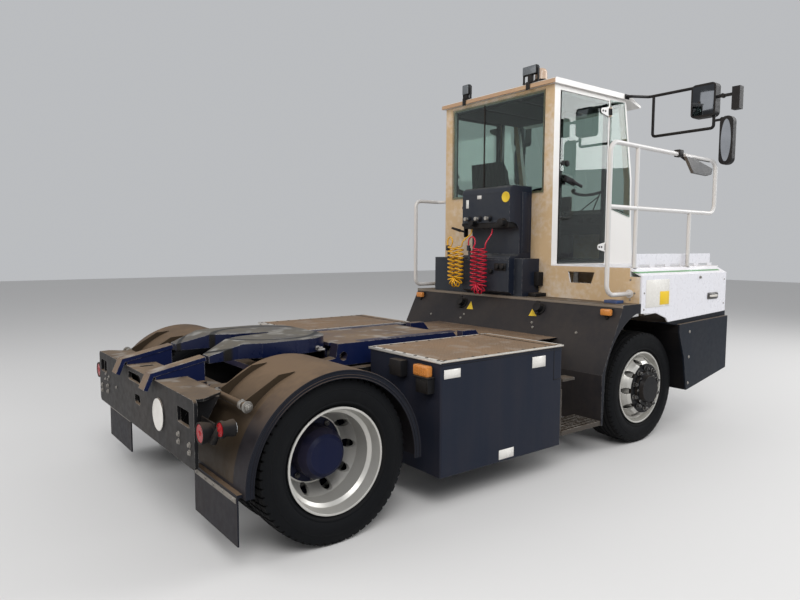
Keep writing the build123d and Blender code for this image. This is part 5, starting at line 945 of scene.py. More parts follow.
# Coiled air lines: polyurethane tube wound on a mandrel, hung as a pair of limbs from the column.
# The far end is parked on its post.
line_diameter = 0.013
winding_radius = 0.0400
limb_spacing = 0.100
limb_pitch = 0.039
bend_pitch = 0.030
points_per_turn = 14
hook_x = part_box("coil_yellow")[0].x + 0.038
coil_x = hook_x - 0.010


def air_line(name, middle_y, top_z, bottom_z, fitting, head_y, park_z, colour):
    """One coiled line: lead from its fitting, two limbs joined by a bend, and the lead to the parked head."""
    bend_radius = limb_spacing / 2
    bend_z = bottom_z + 0.038 + bend_radius
    limb = top_z - bend_z
    near_y = middle_y - bend_radius
    far_y = middle_y + bend_radius
    turns_limb = limb / limb_pitch
    turns_bend = math.pi * bend_radius / bend_pitch
    turns = 2 * turns_limb + turns_bend
    points = [Vector((fitting[0], fitting[1], fitting[2])),
              Vector((fitting[0], fitting[1], fitting[2] - 0.025)),
              Vector((fitting[0] - 0.010, fitting[1] + 0.2 * (near_y - fitting[1]), fitting[2] - 0.055)),
              Vector((coil_x + 0.020, near_y - 0.01, top_z + 0.045))]
    count = int(turns * points_per_turn)
    for i in range(count + 1):
        turn = turns * i / count
        if turn < turns_limb:
            centre = Vector((coil_x, near_y, top_z - turn * limb_pitch))
            across = Vector((0, 1, 0))
        elif turn < turns_limb + turns_bend:
            angle = (turn - turns_limb) * bend_pitch / bend_radius
            centre = Vector((coil_x, middle_y - bend_radius * math.cos(angle),
                             bend_z - bend_radius * math.sin(angle)))
            across = Vector((0, math.cos(angle), math.sin(angle)))
        else:
            centre = Vector((coil_x, far_y, bend_z + (turn - turns_limb - turns_bend) * limb_pitch))
            across = Vector((0, -1, 0))
        phase = 2 * math.pi * turn
        points.append(centre + winding_radius
                      * (math.cos(phase) * Vector(forwards) + math.sin(phase) * across))
    points += [Vector((hook_x, far_y + 0.004, top_z + 0.040)),
               Vector((hook_x, far_y + 0.012, park_z + 0.065)),
               Vector((hook_x, (far_y + head_y) / 2, park_z + 0.088)),
               Vector((hook_x, head_y, park_z + 0.06)), Vector((hook_x, head_y, park_z + 0.02)),
               Vector((hook_x, head_y, park_z + 0.0005))]
    curve = bpy.data.curves.new(name, "CURVE")
    curve.dimensions = "3D"
    curve.bevel_depth = line_diameter / 2
    curve.bevel_resolution = 3
    curve.resolution_u = 2
    curve.use_fill_caps = True
    spline = curve.splines.new("NURBS")
    spline.points.add(len(points) - 1)
    for point, place in zip(spline.points, points):
        point.co = (*place, 1)
    spline.order_u = 3
    spline.use_endpoint_u = True
    line = bpy.data.objects.new(name, curve)
    bpy.context.scene.collection.objects.link(line)
    tube = painted(name + "_tube", colour, dust=(0.16, 0.12, 0.08, 1), top=0.35, rear=0.15, wear=0.0,
                   gloss=0.24, bump=0.05)
    tube.node_tree.nodes["Principled BSDF"].inputs["Coat Weight"].default_value = 0.3
    curve.materials.append(tube)
    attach(line, "vehicle")
    return line


def spline_length(line):
    """Length of the line's own spline."""
    curve = line.data.copy()
    curve.bevel_depth = 0
    bare = bpy.data.objects.new("measure", curve)
    mesh = bpy.data.meshes.new_from_object(bare)
    length = sum((mesh.vertices[e.vertices[0]].co - mesh.vertices[e.vertices[1]].co).length
                 for e in mesh.edges)
    bpy.data.objects.remove(bare)
    bpy.data.meshes.remove(mesh)
    bpy.data.curves.remove(curve)
    return length


# Columns: name, node, middle y, top, bottom, y of the fitting, y of the parked head, colour
for name, node, middle_y, top_z, bottom_z, fitting_y, head_y, colour in (
        ("air_line_yellow", "coil_yellow", 0.513, 1.630, 1.238, 0.400, 0.640, (0.74, 0.38, 0.012, 1)),
        ("air_line_red", "coil_red", 0.198, 1.612, 1.188, 0.127, 0.345, (0.50, 0.008, 0.035, 1))):
    start = (hook_x + 0.094, fitting_y, 1.7925)
    line = air_line(name, middle_y, top_z, bottom_z, start, head_y, 1.640, colour)
    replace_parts(line, node)
    round(spline_length(line), 3)

# Front body and side panels: off-white sheet with road dust on top; what faces the rear is painted tan, a painted
# shade of warm bounced light with road dust in patches.
# The step hole opens on a grating shelf, and the panel on each side has a green stripe and a latch.
body_white = (0.71, 0.695, 0.67, 1)
body_dust_and_shade = (0.50, 0.345, 0.190, 1)
wall_x = rear_x + 2.803
walk_brown = (0.11, 0.085, 0.062, 1)
# The tan on rearward faces of body and roof is painted shade of warm bounced light, with road dust in patches.
finish_nodes(painted("body_paint", body_white, dust=body_dust_and_shade, top=0.35, rear=1.2, wear=0.08, gloss=0.28,
                     bump=0.08, specular=0.5,
                     other_colours=[((rear_x + 2.83, -1.116, 1.4585), (rear_x + 4.15, -0.30, 1.47),
                                     walk_brown)]), "front_body")
finish_nodes(painted("roof_paint", body_white, dust=body_dust_and_shade, top=0.35, rear=0.6, wear=0.08, gloss=0.28,
                     bump=0.08, specular=0.5,
                     other_colours=[((wall_x - 0.06, -0.5, 3.05), (wall_x - 0.03, 1.2, 3.125),
                                     (0.33, 0.175, 0.100, 1)),
                                    ((wall_x, -0.31, 3.0), (rear_x + 3.95, 1.05, 3.0645),
                                     (0.030, 0.033, 0.036, 1))]), "cab_roof")
stripe_green = (0.030, 0.24, 0.075, 1)
stripe_z = (1.4195, 1.4315)
panel_paint = painted("panel_paint", (0.69, 0.69, 0.73, 1), dust=body_dust_and_shade, top=0.15, rear=0.2, wear=0.08,
                      gloss=0.25, bump=0.06, specular=0.5,
                      other_colours=[((rear_x + 2.766, -1.26, stripe_z[0]),
                                      (rear_x + 4.125, -1.15, stripe_z[1]), stripe_green),
                                     ((rear_x + 2.766, 1.15, stripe_z[0]),
                                      (rear_x + 4.125, 1.26, stripe_z[1]), stripe_green)])
finish_nodes(panel_paint, "side_panels", "walkway")
for side, s in both_sides:
    latch = bmesh.new()
    for z0, z1, depth in ((1.166, 1.226, 0.004), (1.174, 1.218, 0.010)):
        add_block(latch, (rear_x + 3.852, rear_x + 4.030), (s * 1.2485, s * (1.250 + depth)), (z0, z1), 0.003)
    finish_piece(f"panel_latch_{side}", latch, dark_nut, "vehicle")
    grip = bmesh.new()
    add_block(grip, (rear_x + 3.872, rear_x + 4.010), (s * 1.258, s * 1.266), (1.186, 1.206), 0.003)
    finish_piece(f"latch_grip_{side}", grip, worn_edge, "vehicle")
    details = bmesh.new()
    add_rod(details, (rear_x + 3.710, s * 1.2485, 1.368), (rear_x + 3.710, s * 1.262, 1.368), 0.012,
            rounding=0.002)
    for x, z in ((2.846, 1.262), (2.846, 1.130), (4.150, 1.340), (4.150, 1.120)):
        add_rod(details, (rear_x + x, s * 1.2485, z), (rear_x + x, s * 1.253, z), 0.009, 0.006, sides=16)
    for y, z in ((1.151, 1.366), (1.150, 1.205), (1.190, 1.260)):
        add_rod(details, (wall_x + 0.001, s * y, z), (wall_x - 0.006, s * y, z), 0.009, 0.006, sides=16)
    finish_piece(f"panel_screws_{side}", details, bolt_zinc, "vehicle")
side_labels = bmesh.new()
add_block(side_labels, (rear_x + 2.868, rear_x + 3.215), (-1.2515, -1.2495), (1.142, 1.366), 0.0004)
finish_piece("blank_label", side_labels, white_enamel, "vehicle")
yellow_label = bmesh.new()
add_block(yellow_label, (rear_x + 3.072, rear_x + 3.212), (-1.2525, -1.2505), (1.158, 1.268), 0.0004)
finish_piece("blank_yellow_label", yellow_label, warning_yellow, "vehicle")

# Steps, handrails and their fixings: galvanised grating brown with dust, and bent tube in light grey paint.
rail_paint = painted("rail_paint", (0.56, 0.55, 0.54, 1), dust=body_dust_and_shade, top=0.15, rear=0.25, wear=0.25,
                     gloss=0.3, bump=0.05, specular=0.5,
                     other_colours=[((rear_x + 3.430, -1.20, 2.25), (rear_x + 3.98, -1.10, 2.3995),
                                     (0.018, 0.019, 0.022, 1))])
finish_nodes(rail_paint, "rail_right", "rail_left")
tread_metal = painted("tread_metal", (0.065, 0.056, 0.048, 1), dust=(0.12, 0.088, 0.062, 1), top=0.7,
                      rear=0.1, wear=0.6, gloss=0.5, metallic=0.3)
finish_nodes(tread_metal, "side_steps")

# Cab shell: pressed sheet, off-white outside and dark grey trim inside, with black rubber seals.
inner_box = ((wall_x + 0.03, -0.2965, 1.50), (rear_x + 3.90, 1.0365, 3.0625))
# The tan on the cab's rear wall is painted shade of warm bounced light, with road dust in patches.
cab_paint = painted("cab_paint", body_white, dust=body_dust_and_shade, top=0.3, rear=1.2, wear=0.08, gloss=0.28,
                    bump=0.08, specular=0.5, other_colours=[(*inner_box, (0.030, 0.033, 0.036, 1))])
finish_nodes(cab_paint, "cab_shell")


def add_frame(shape, outline, width, shift):
    """Flat frame of one width inside an outline of points, extruded by a shift."""
    face = shape.faces.new([shape.verts.new(point) for point in outline])
    rim = bmesh.ops.inset_region(shape, faces=[face], thickness=width, use_boundary=True,
                                 use_even_offset=True)["faces"]
    bmesh.ops.delete(shape, geom=[face], context="FACES_ONLY")
    grown = bmesh.ops.extrude_face_region(shape, geom=rim)["geom"]
    bmesh.ops.translate(shape, vec=shift,
                        verts=[item for item in grown if isinstance(item, bmesh.types.BMVert)])


seals = bmesh.new()
window = [Vector((wall_x - 0.0065, y, z)) for y,
          z in ((-0.246, 2.115), (0.971, 2.115), (0.971, 3.036), (-0.246, 3.036))]
add_frame(seals, window, 0.030, (-0.005, 0, 0))
add_block(seals, (wall_x - 0.011, wall_x - 0.0065), (0.500, 0.518), (2.14, 3.01), 0.001)
quarter = ((3.642, 2.022), (3.985, 1.946), (3.972, 2.302), (3.842, 3.020), (3.642, 3.020))
for y, out in ((-0.3513, -0.003), (1.0913, 0.003)):
    add_frame(seals, [Vector((rear_x + x, y, z)) for x, z in quarter], 0.020, (0, out, 0))
# Windscreen seal: two flat frames that meet at the knee
screen_low, screen_knee, screen_high = (4.0415, 1.935), (4.0280, 2.303), (3.8985, 3.015)
for (x0, z0), (x1, z1) in ((screen_low, screen_knee), (screen_knee, screen_high)):
    corners = [(x0, -0.307, z0), (x0, 1.047, z0), (x1, 1.047, z1), (x1, -0.307, z1)]
    add_frame(seals, [Vector((rear_x + x, y, z)) for x, y, z in corners], 0.024, (0.004, 0, 0.001))
finish_piece("window_seals", seals, black_rubber, "vehicle")

# Tinted safety glass, bonded in: greenish, with a cloudy film of dust.
pane = bpy.data.materials.new("tinted_pane")
pane.use_nodes = True
pane_nodes, pane_links = pane.node_tree.nodes, pane.node_tree.links
pane_shader = pane_nodes["Principled BSDF"]
pane_shader.inputs["Transmission Weight"].default_value = 1.0
pane_shader.inputs["IOR"].default_value = 1.45
pane_place = pane_nodes.new("ShaderNodeTexCoord")
pane_cloud = pane_nodes.new("ShaderNodeTexNoise")
pane_cloud.inputs["Scale"].default_value = 5
pane_cloud.inputs["Detail"].default_value = 6
pane_links.new(pane_place.outputs["Object"], pane_cloud.inputs["Vector"])
pane_tint = pane_nodes.new("ShaderNodeMix")
pane_tint.data_type = "RGBA"
pane_tint.inputs["A"].default_value = (0.50, 0.60, 0.56, 1)
pane_tint.inputs["B"].default_value = (0.56, 0.65, 0.61, 1)
pane_links.new(pane_cloud.outputs["Fac"], pane_tint.inputs["Factor"])
pane_links.new(pane_tint.outputs["Result"], pane_shader.inputs["Base Color"])
pane_rough = pane_nodes.new("ShaderNodeMapRange")
pane_rough.inputs["From Min"].default_value = 0.4
pane_rough.inputs["To Min"].default_value = 0.0
pane_rough.inputs["To Max"].default_value = 0.05
pane_links.new(pane_cloud.outputs["Fac"], pane_rough.inputs["Value"])
pane_links.new(pane_rough.outputs["Result"], pane_shader.inputs["Roughness"])
finish_nodes(pane, "cab_glass", "door_glass_right", "door_glass_left")

# Doors: black frame behind the full pane, white hinge plates with two black bolts, black handle and lock.
# Inside, a bowed grab bar crosses the door at waist height.
door_x = (rear_x + 2.892, rear_x + 3.594)
hinge_white = (0.70, 0.69, 0.66, 1)
door_paint = painted("door_paint", (0.007, 0.0075, 0.009, 1), top=0.3, rear=0.05, wear=0.1, gloss=0.4,
                     bump=0.15, other_colours=[((door_x[1] - 0.10, -0.36, 1.0),
                                                (door_x[1] + 0.03, -0.3508, 3.2), hinge_white),
                                               ((door_x[1] - 0.10, 1.0908, 1.0),
                                                (door_x[1] + 0.03, 1.10, 3.2), hinge_white)])
finish_nodes(door_paint, "door_right", "door_left")
hinge_paint = painted("hinge_paint", (0.72, 0.71, 0.69, 1), top=0.1, rear=0.1, wear=0.2, gloss=0.3,
                      specular=0.5)


def bent_bar(name, points, radius, material, body):
    """Round bar along a smooth line through a few points."""
    curve = bpy.data.curves.new(name, "CURVE")
    curve.dimensions = "3D"
    curve.bevel_depth = radius
    curve.bevel_resolution = 4
    curve.resolution_u = 8
    curve.use_fill_caps = True
    spline = curve.splines.new("NURBS")
    spline.points.add(len(points) - 1)
    for point, place in zip(spline.points, points):
        point.co = (*place, 1)
    spline.order_u = 3
    spline.use_endpoint_u = True
    drawn = bpy.data.objects.new(name + "_line", curve)
    mesh = bpy.data.meshes.new_from_object(drawn)
    bpy.data.objects.remove(drawn)
    bpy.data.curves.remove(curve)
    mesh.name = name
    mesh.shade_smooth()
    mesh.materials.clear()
    mesh.materials.append(material)
    bar = bpy.data.objects.new(name, mesh)
    bpy.context.scene.collection.objects.link(bar)
    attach(bar, body)
    return bar


for side, s in both_sides:
    outer_y = -0.345 if s < 0 else 1.085
    body = f"cab_door_{side}"
    inner = outer_y - s * 0.040
    bent_bar(f"door_grab_{side}",
             [(rear_x + 3.120, outer_y - s * 0.004, 2.150), (rear_x + 3.120, inner, 2.150),
              (rear_x + 3.200, inner - s * 0.030, 2.128), (rear_x + 3.340, inner - s * 0.034, 2.118),
              (rear_x + 3.480, inner - s * 0.030, 2.132), (rear_x + 3.572, inner, 2.160),
              (rear_x + 3.572, outer_y - s * 0.020, 2.160)], 0.014, black_plastic, body)
    bolts = bmesh.new()
    hinge_plates = bmesh.new()
    for z in (1.629, 2.915):
        tip = Vector((door_x[1] - 0.104, outer_y + s * 0.0125, z))
        outline = [Vector((door_x[1] - 0.006, tip.y, z - 0.046))]
        for i in range(9):
            angle = math.radians(-100 - 20 * i)
            outline.append(tip + Vector((0.026 * math.cos(angle), 0, 0.026 * math.sin(angle))))
        add_prism(hinge_plates, outline + [Vector((door_x[1] - 0.006, tip.y, z + 0.046))], (0, s * 0.003, 0))
        for x in (-0.101, -0.064):
            add_rod(bolts, (door_x[1] + x, outer_y + s * 0.0150, z), (door_x[1] + x, outer_y + s * 0.020, z),
                    0.0100, 0.0085, sides=20, rounding=0.001)
    finish_piece(f"hinge_plates_{side}", hinge_plates, hinge_paint, body)
    handle_x = rear_x + 2.974
    add_rod(bolts, (handle_x + 0.006, outer_y + s * 0.001, 2.380),
            (handle_x + 0.006, outer_y + s * 0.022, 2.380), 0.029, 0.027, sides=32, rounding=0.003)
    finish_piece(f"door_bolts_{side}", bolts, black_plastic, body)
    lever = bmesh.new()
    add_block(lever, (handle_x - 0.040, handle_x + 0.110), (outer_y + s * 0.014, outer_y + s * 0.036),
              (2.205, 2.265), 0.010)
    add_block(lever, (handle_x + 0.060, handle_x + 0.205), (outer_y + s * 0.030, outer_y + s * 0.046),
              (2.218, 2.248), 0.007)
    bmesh.ops.rotate(lever, cent=(handle_x, outer_y, 2.235),
                     matrix=Matrix.Rotation(math.radians(14), 3, (0, 1, 0)), verts=lever.verts)
    finish_piece(f"door_lever_{side}", lever, black_plastic, body)

# Roof lamps: two work lamps on U-brackets and a beacon on its rubber foot.
# Each work lamp is a ribbed black body with a dark silver pane; the beacon has a faded amber dome.
roof_x = rear_x + 2.768
roof_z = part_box("cab_roof")[1].z
reflector = lens("reflector", (0.15, 0.16, 0.17, 1), 0.0)
beacon_lens = lens("beacon_lens", (0.74, 0.55, 0.41, 1), 0.2)
for name, y0, y1, z0, z1 in (("left", 0.720, 0.815, 3.160, 3.259), ("right", -0.156, 0.010, 3.185, 3.266)):
    lamp = bmesh.new()
    middle = (y0 + y1) / 2
    add_block(lamp, (roof_x + 0.004, roof_x + 0.044), (y0, y1), (z0, z1), 0.008)
    for i in range(4):
        y = y0 + 0.010 + (y1 - y0 - 0.026) * i / 3
        add_block(lamp, (roof_x + 0.040, roof_x + 0.059), (y, y + 0.006), (z0 + 0.008, z1 - 0.008), 0.001)
    for y in (y0 - 0.005, y1 - 0.001):
        add_block(lamp, (roof_x + 0.018, roof_x + 0.042), (y, y + 0.006),
                  (roof_z + 0.008, (z0 + z1) / 2 + 0.012), 0.001)
    add_block(lamp, (roof_x + 0.014, roof_x + 0.050), (y0 - 0.005, y1 + 0.005),
              (roof_z + 0.0005, roof_z + 0.010), 0.002)
    add_rod(lamp, (roof_x + 0.030, middle, roof_z), (roof_x + 0.030, middle, roof_z + 0.020), 0.010, sides=6)
    add_block(lamp, (roof_x + 0.008, roof_x + 0.040), (middle - 0.024, middle + 0.024), (roof_z, z0 + 0.004),
              0.004)
    add_block(lamp, (roof_x - 0.016, roof_x - 0.0085), (middle - 0.022, middle + 0.022),
              (roof_z - 0.062, roof_z + 0.006), 0.002)
    add_block(lamp, (roof_x - 0.016, roof_x + 0.030), (middle - 0.022, middle + 0.022),
              (roof_z + 0.0005, roof_z + 0.008), 0.002)
    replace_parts(finish_piece(f"work_lamp_{name}", lamp, black_plastic, "vehicle"),
                "roof_lamps")
    glass = bmesh.new()
    add_block(glass, (roof_x, roof_x + 0.005), (y0 + 0.006, y1 - 0.006), (z0 + 0.006, z1 - 0.006), 0.002)
    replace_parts(finish_piece(f"work_lamp_pane_{name}", glass, reflector, "vehicle"), "roof_lamps")
beacon_foot = bmesh.new()
beacon = (rear_x + 2.905, -0.098, roof_z)
add_lathe(beacon_foot, [(0.0005, 0.0), (0.0005, 0.070), (0.008, 0.071), (0.026, 0.066), (0.040, 0.064),
                        (0.040, 0.0)], beacon, upwards, 48)
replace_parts(finish_piece("beacon_foot", beacon_foot, black_rubber, "vehicle"), "roof_lamps")
beacon_dome = bmesh.new()
dome_rows = [(0.040, 0.0), (0.040, 0.058)]
for i in range(7):
    z = 0.046 + 0.010 * i
    dome_rows += [(z, 0.0590 - 0.0006 * i), (z + 0.005, 0.0572 - 0.0006 * i)]
dome_rows += [(0.124, 0.051), (0.137, 0.042), (0.1455, 0.024), (0.148, 0.0)]
add_lathe(beacon_dome, dome_rows, beacon, upwards, 56)
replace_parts(finish_piece("beacon_dome", beacon_dome, beacon_lens, "vehicle"), "roof_lamps")

# Mirrors: black moulded housings on a black tube frame; the glasses face the rear.
finish_nodes(black_plastic, "mirrors")
mirror_x = rear_x + 4.150
mirror_glass = bpy.data.materials.new("mirror_glass")
mirror_glass.use_nodes = True
mirror_shader = mirror_glass.node_tree.nodes["Principled BSDF"]
mirror_shader.inputs["Metallic"].default_value = 1.0
mirror_place = mirror_glass.node_tree.nodes.new("ShaderNodeTexCoord")
mirror_specks = mirror_glass.node_tree.nodes.new("ShaderNodeTexNoise")
mirror_specks.inputs["Scale"].default_value = 9
mirror_tone = mirror_glass.node_tree.nodes.new("ShaderNodeMix")
mirror_tone.data_type = "RGBA"
mirror_tone.inputs["A"].default_value = (0.055, 0.058, 0.063, 1)
mirror_tone.inputs["B"].default_value = (0.085, 0.089, 0.096, 1)
mirror_haze = mirror_glass.node_tree.nodes.new("ShaderNodeMapRange")
mirror_haze.inputs["To Min"].default_value = 0.02
mirror_haze.inputs["To Max"].default_value = 0.14
mirror_glass.node_tree.links.new(mirror_place.outputs["Object"], mirror_specks.inputs["Vector"])
mirror_glass.node_tree.links.new(mirror_specks.outputs["Fac"], mirror_tone.inputs["Factor"])
mirror_glass.node_tree.links.new(mirror_specks.outputs["Fac"], mirror_haze.inputs["Value"])
mirror_glass.node_tree.links.new(mirror_tone.outputs["Result"], mirror_shader.inputs["Base Color"])
mirror_glass.node_tree.links.new(mirror_haze.outputs["Result"], mirror_shader.inputs["Roughness"])
for side, s, head, blade in (("right", -1, (0.889, 1.121), 1.222), ("left", 1, (1.120, 1.318), 1.262)):
    glasses = bmesh.new()
    add_block(glasses, (mirror_x - 0.0475, mirror_x - 0.0445), (s * (head[0] + 0.016), s * (head[1] - 0.016)),
              (2.850, 3.112), 0.0010)
    add_rod(glasses, (mirror_x - 0.0325, s * blade, 2.595), (mirror_x - 0.0295, s * blade, 2.595), 0.045,
            sides=32)
    bmesh.ops.scale(glasses, vec=(1, 1, 4.2), space=Matrix.Translation((0, 0, -2.595)),
                    verts=[vert for vert in glasses.verts if vert.co.z < 2.70])
    finish_piece(f"mirror_glasses_{side}", glasses, mirror_glass, "vehicle")
    trims = bmesh.new()
    for z in (2.790, 3.002):
        y = min(head[1] + 0.045, 1.306) if z > 2.9 else (head[1] + blade) / 2
        add_rod(trims, (mirror_x - 0.020, s * y, z), (mirror_x + 0.020, s * y, z), 0.020, sides=24,
                rounding=0.003)
    add_block(trims, (mirror_x + 0.044, mirror_x + 0.056), (s * (head[0] + 0.03), s * (head[1] - 0.03)),
              (2.870, 3.090), 0.005)
    finish_piece(f"mirror_trims_{side}", trims, black_plastic, "vehicle")
rail_mirror = bmesh.new()
add_prism(rail_mirror, [Vector((rear_x + x, -1.1660, z)) for x,
                        z in ((3.505, 2.405), (3.562, 2.400), (3.950, 2.322), (3.936, 2.290), (3.876, 2.274),
                              (3.650, 2.281))], (0, -0.0015, 0))
finish_piece("rail_mirror_glass", rail_mirror, mirror_glass, "vehicle")
rail_clamp = bmesh.new()
add_block(rail_clamp, (rear_x + 3.436, rear_x + 3.504), (-1.172, -1.118), (2.396, 2.456), 0.006)
add_rod(rail_clamp, (rear_x + 3.500, -1.145, 2.415), (rear_x + 3.575, -1.152, 2.385), 0.016, rounding=0.003)
finish_piece("rail_clamp", rail_clamp, black_plastic, "vehicle")

# Driver's seat: black shell on its pedestal, and two cushions of dark woven cloth sewn over foam.
# The cushions are blown up by cloth simulation; the seams of the back run upright.
seat_y = 0.600
seat_back_x = rear_x + 2.925
shell_plastic = painted("shell_plastic", (0.030, 0.034, 0.033, 1), top=0.3, rear=0.05, wear=0.0, gloss=0.55,
                        bump=0.3)
shell_nodes, shell_links = shell_plastic.node_tree.nodes, shell_plastic.node_tree.links
shell_place = shell_nodes.new("ShaderNodeTexCoord")
shell_ribs = shell_nodes.new("ShaderNodeTexWave")
shell_ribs.bands_direction = "Y"
shell_ribs.inputs["Scale"].default_value = 7.0
shell_links.new(shell_place.outputs["Object"], shell_ribs.inputs["Vector"])
shell_relief = shell_nodes.new("ShaderNodeBump")
shell_relief.inputs["Strength"].default_value = 0.9
shell_relief.inputs["Distance"].default_value = 0.006
shell_links.new(shell_ribs.outputs["Fac"], shell_relief.inputs["Height"])
shell_links.new(shell_relief.outputs["Normal"], shell_nodes["Principled BSDF"].inputs["Normal"])
finish_nodes(shell_plastic, "seat_frame")

seat_cloth = bpy.data.materials.new("seat_cloth")
seat_cloth.use_nodes = True
cloth_nodes, cloth_links = seat_cloth.node_tree.nodes, seat_cloth.node_tree.links
cloth_shader = cloth_nodes["Principled BSDF"]
cloth_shader.inputs["Sheen Weight"].default_value = 0.35
cloth_shader.inputs["Sheen Roughness"].default_value = 0.5
cloth_place = cloth_nodes.new("ShaderNodeTexCoord")
threads = []
for direction in ("Y", "Z"):
    thread = cloth_nodes.new("ShaderNodeTexWave")
    thread.bands_direction = direction
    thread.inputs["Scale"].default_value = 120
    thread.inputs["Distortion"].default_value = 1.2
    cloth_links.new(cloth_place.outputs["Object"], thread.inputs["Vector"])
    threads.append(thread.outputs["Fac"])
weave = cloth_nodes.new("ShaderNodeMath")
weave.operation = "MAXIMUM"
cloth_links.new(threads[0], weave.inputs[0])
cloth_links.new(threads[1], weave.inputs[1])
cloth_tone = cloth_nodes.new("ShaderNodeMix")
cloth_tone.data_type = "RGBA"
cloth_tone.inputs["A"].default_value = (0.018, 0.021, 0.022, 1)
cloth_tone.inputs["B"].default_value = (0.045, 0.050, 0.050, 1)
cloth_links.new(weave.outputs[0], cloth_tone.inputs["Factor"])
cloth_links.new(cloth_tone.outputs["Result"], cloth_shader.inputs["Base Color"])
cloth_rough = cloth_nodes.new("ShaderNodeMapRange")
cloth_rough.inputs["To Min"].default_value = 0.95
cloth_rough.inputs["To Max"].default_value = 0.78
cloth_links.new(weave.outputs[0], cloth_rough.inputs["Value"])
cloth_links.new(cloth_rough.outputs["Result"], cloth_shader.inputs["Roughness"])
cloth_relief = cloth_nodes.new("ShaderNodeBump")
cloth_relief.inputs["Strength"].default_value = 0.5
cloth_relief.inputs["Distance"].default_value = 0.0006
cloth_links.new(weave.outputs[0], cloth_relief.inputs["Height"])
cloth_links.new(cloth_relief.outputs["Normal"], cloth_shader.inputs["Normal"])


def blown_pad(name, shape, cap, seams):
    """Blow up one closed shape by cloth pressure, then press its seams in and smooth it once."""
    mesh = bpy.data.meshes.new(name)
    shape.to_mesh(mesh)
    shape.free()
    pad = bpy.data.objects.new(name, mesh)
    bpy.context.scene.collection.objects.link(pad)
    voxels = pad.modifiers.new("voxels", "REMESH")
    voxels.mode = "VOXEL"
    voxels.voxel_size = 0.006
    remeshed = bpy.data.meshes.new_from_object(pad.evaluated_get(bpy.context.evaluated_depsgraph_get()))
    pad.modifiers.clear()
    pad.data = remeshed
    rest = [vert.co.copy() for vert in remeshed.vertices]
    cloth = pad.modifiers.new("cloth", "CLOTH")
    cloth.settings.use_pressure = True
    cloth.settings.uniform_pressure_force = 4
    cloth.settings.effector_weights.gravity = 0
    for step in range(1, 21):
        bpy.context.scene.frame_set(step)
    blown = pad.evaluated_get(bpy.context.evaluated_depsgraph_get()).to_mesh()
    moved = [vert.co.copy() for vert in blown.vertices]
    pad.modifiers.clear()
    bpy.context.scene.frame_set(1)
    for vert, start, end in zip(remeshed.vertices, rest, moved):
        step = end - start
        vert.co = start + step * min(1.0, cap / max(step.length, 1e-9))
    normals = [vert.normal.copy() for vert in remeshed.vertices]
    for vert, normal in zip(remeshed.vertices, normals):
        depth = seams(vert.co)
        if depth:
            vert.co -= normal * depth
    smooth = pad.modifiers.new("smooth", "SUBSURF")
    smooth.levels = smooth.render_levels = 1
    finished = bpy.data.meshes.new_from_object(pad.evaluated_get(bpy.context.evaluated_depsgraph_get()))
    pad.modifiers.clear()
    pad.data = finished
    finished.shade_smooth()
    finished.materials.clear()
    finished.materials.append(seat_cloth)
    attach(pad, "vehicle")
    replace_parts(pad, "seat_cushions")
    return pad


def line_dip(distance, depth, width=0.006):
    """Depth of a sewn line at a distance from it."""
    return depth * math.exp(-(distance / width) ** 2)


base_start = bmesh.new()
add_prism(base_start, [Vector((seat_back_x + x, seat_y - 0.215, 1.830 + z)) for x,
                       z in ((0.142, 0.014), (0.540, 0.014), (0.565, 0.055), (0.540, 0.096),
                             (0.150, 0.078))], (0, 0.430, 0))
bmesh.ops.recalc_face_normals(base_start, faces=base_start.faces)
blown_pad("seat_base_pad", base_start, 0.018,
          lambda co: max(line_dip(abs(abs(co.y - seat_y) - 0.135), 0.007),
                         line_dip(abs(co.x - seat_back_x - 0.30), 0.005)))
back_start = bmesh.new()
lean = 0.066 / 0.670
rows = ((0.118, 0.224), (0.30, 0.226), (0.40, 0.218), (0.56, 0.196), (0.64, 0.150))
outline_left = [(seat_y + half, 1.830 + z) for z, half in rows]
outline_right = [(seat_y - half, 1.830 + z) for z, half in reversed(rows)]
add_prism(back_start, [Vector((seat_back_x + 0.116 - lean * (z - 1.830), y, z)) for y,
                       z in outline_left + outline_right], (0.060, 0, 0))
bmesh.ops.recalc_face_normals(back_start, faces=back_start.faces)
blown_pad("seat_back_pad", back_start, 0.018,
          lambda co: max(line_dip(abs(co.y - seat_y - k * 0.052), 0.006) for k in range(-3, 4)))

# Dashboard and controls: grained dark plastic across the cab's front, with the steering wheel on its column.
# A screen, a switch row and two pedals are plain generic pieces.
finish_nodes(black_plastic, "dashboard")
screen_material = painted("screen_black", (0.008, 0.010, 0.012, 1), top=0.1, rear=0.1, wear=0.0, gloss=0.12,
                          bump=0.02)
display = bmesh.new()
add_block(display, (rear_x + 3.700, rear_x + 3.722), (0.150, 0.370), (2.000, 2.150), 0.006)
add_rod(display, (rear_x + 3.716, 0.260, 2.010), (rear_x + 3.760, 0.260, 1.965), 0.014, rounding=0.003)
finish_piece("dash_display", display, screen_material, "vehicle")
switches = bmesh.new()
for i in range(6):
    add_block(switches, (rear_x + 3.700, rear_x + 3.712), (-0.18 + 0.042 * i, -0.15 + 0.042 * i),
              (1.880, 1.925), 0.004)
for y in (0.480, 0.700):
    add_block(switches, (rear_x + 3.780, rear_x + 3.800), (y, y + 0.075), (1.580, 1.700), 0.008)
    add_rod(switches, (rear_x + 3.795, y + 0.037, 1.690), (rear_x + 3.880, y + 0.037, 1.760), 0.010,
            rounding=0.002)
add_rod(switches, (seat_back_x + 0.330, 0.300, 1.760), (seat_back_x + 0.330, 0.300, 2.020), 0.014, 0.012,
        rounding=0.002)
add_rod(switches, (seat_back_x + 0.330, 0.300, 2.010), (seat_back_x + 0.330, 0.300, 2.085), 0.022, 0.017,
        rounding=0.006)
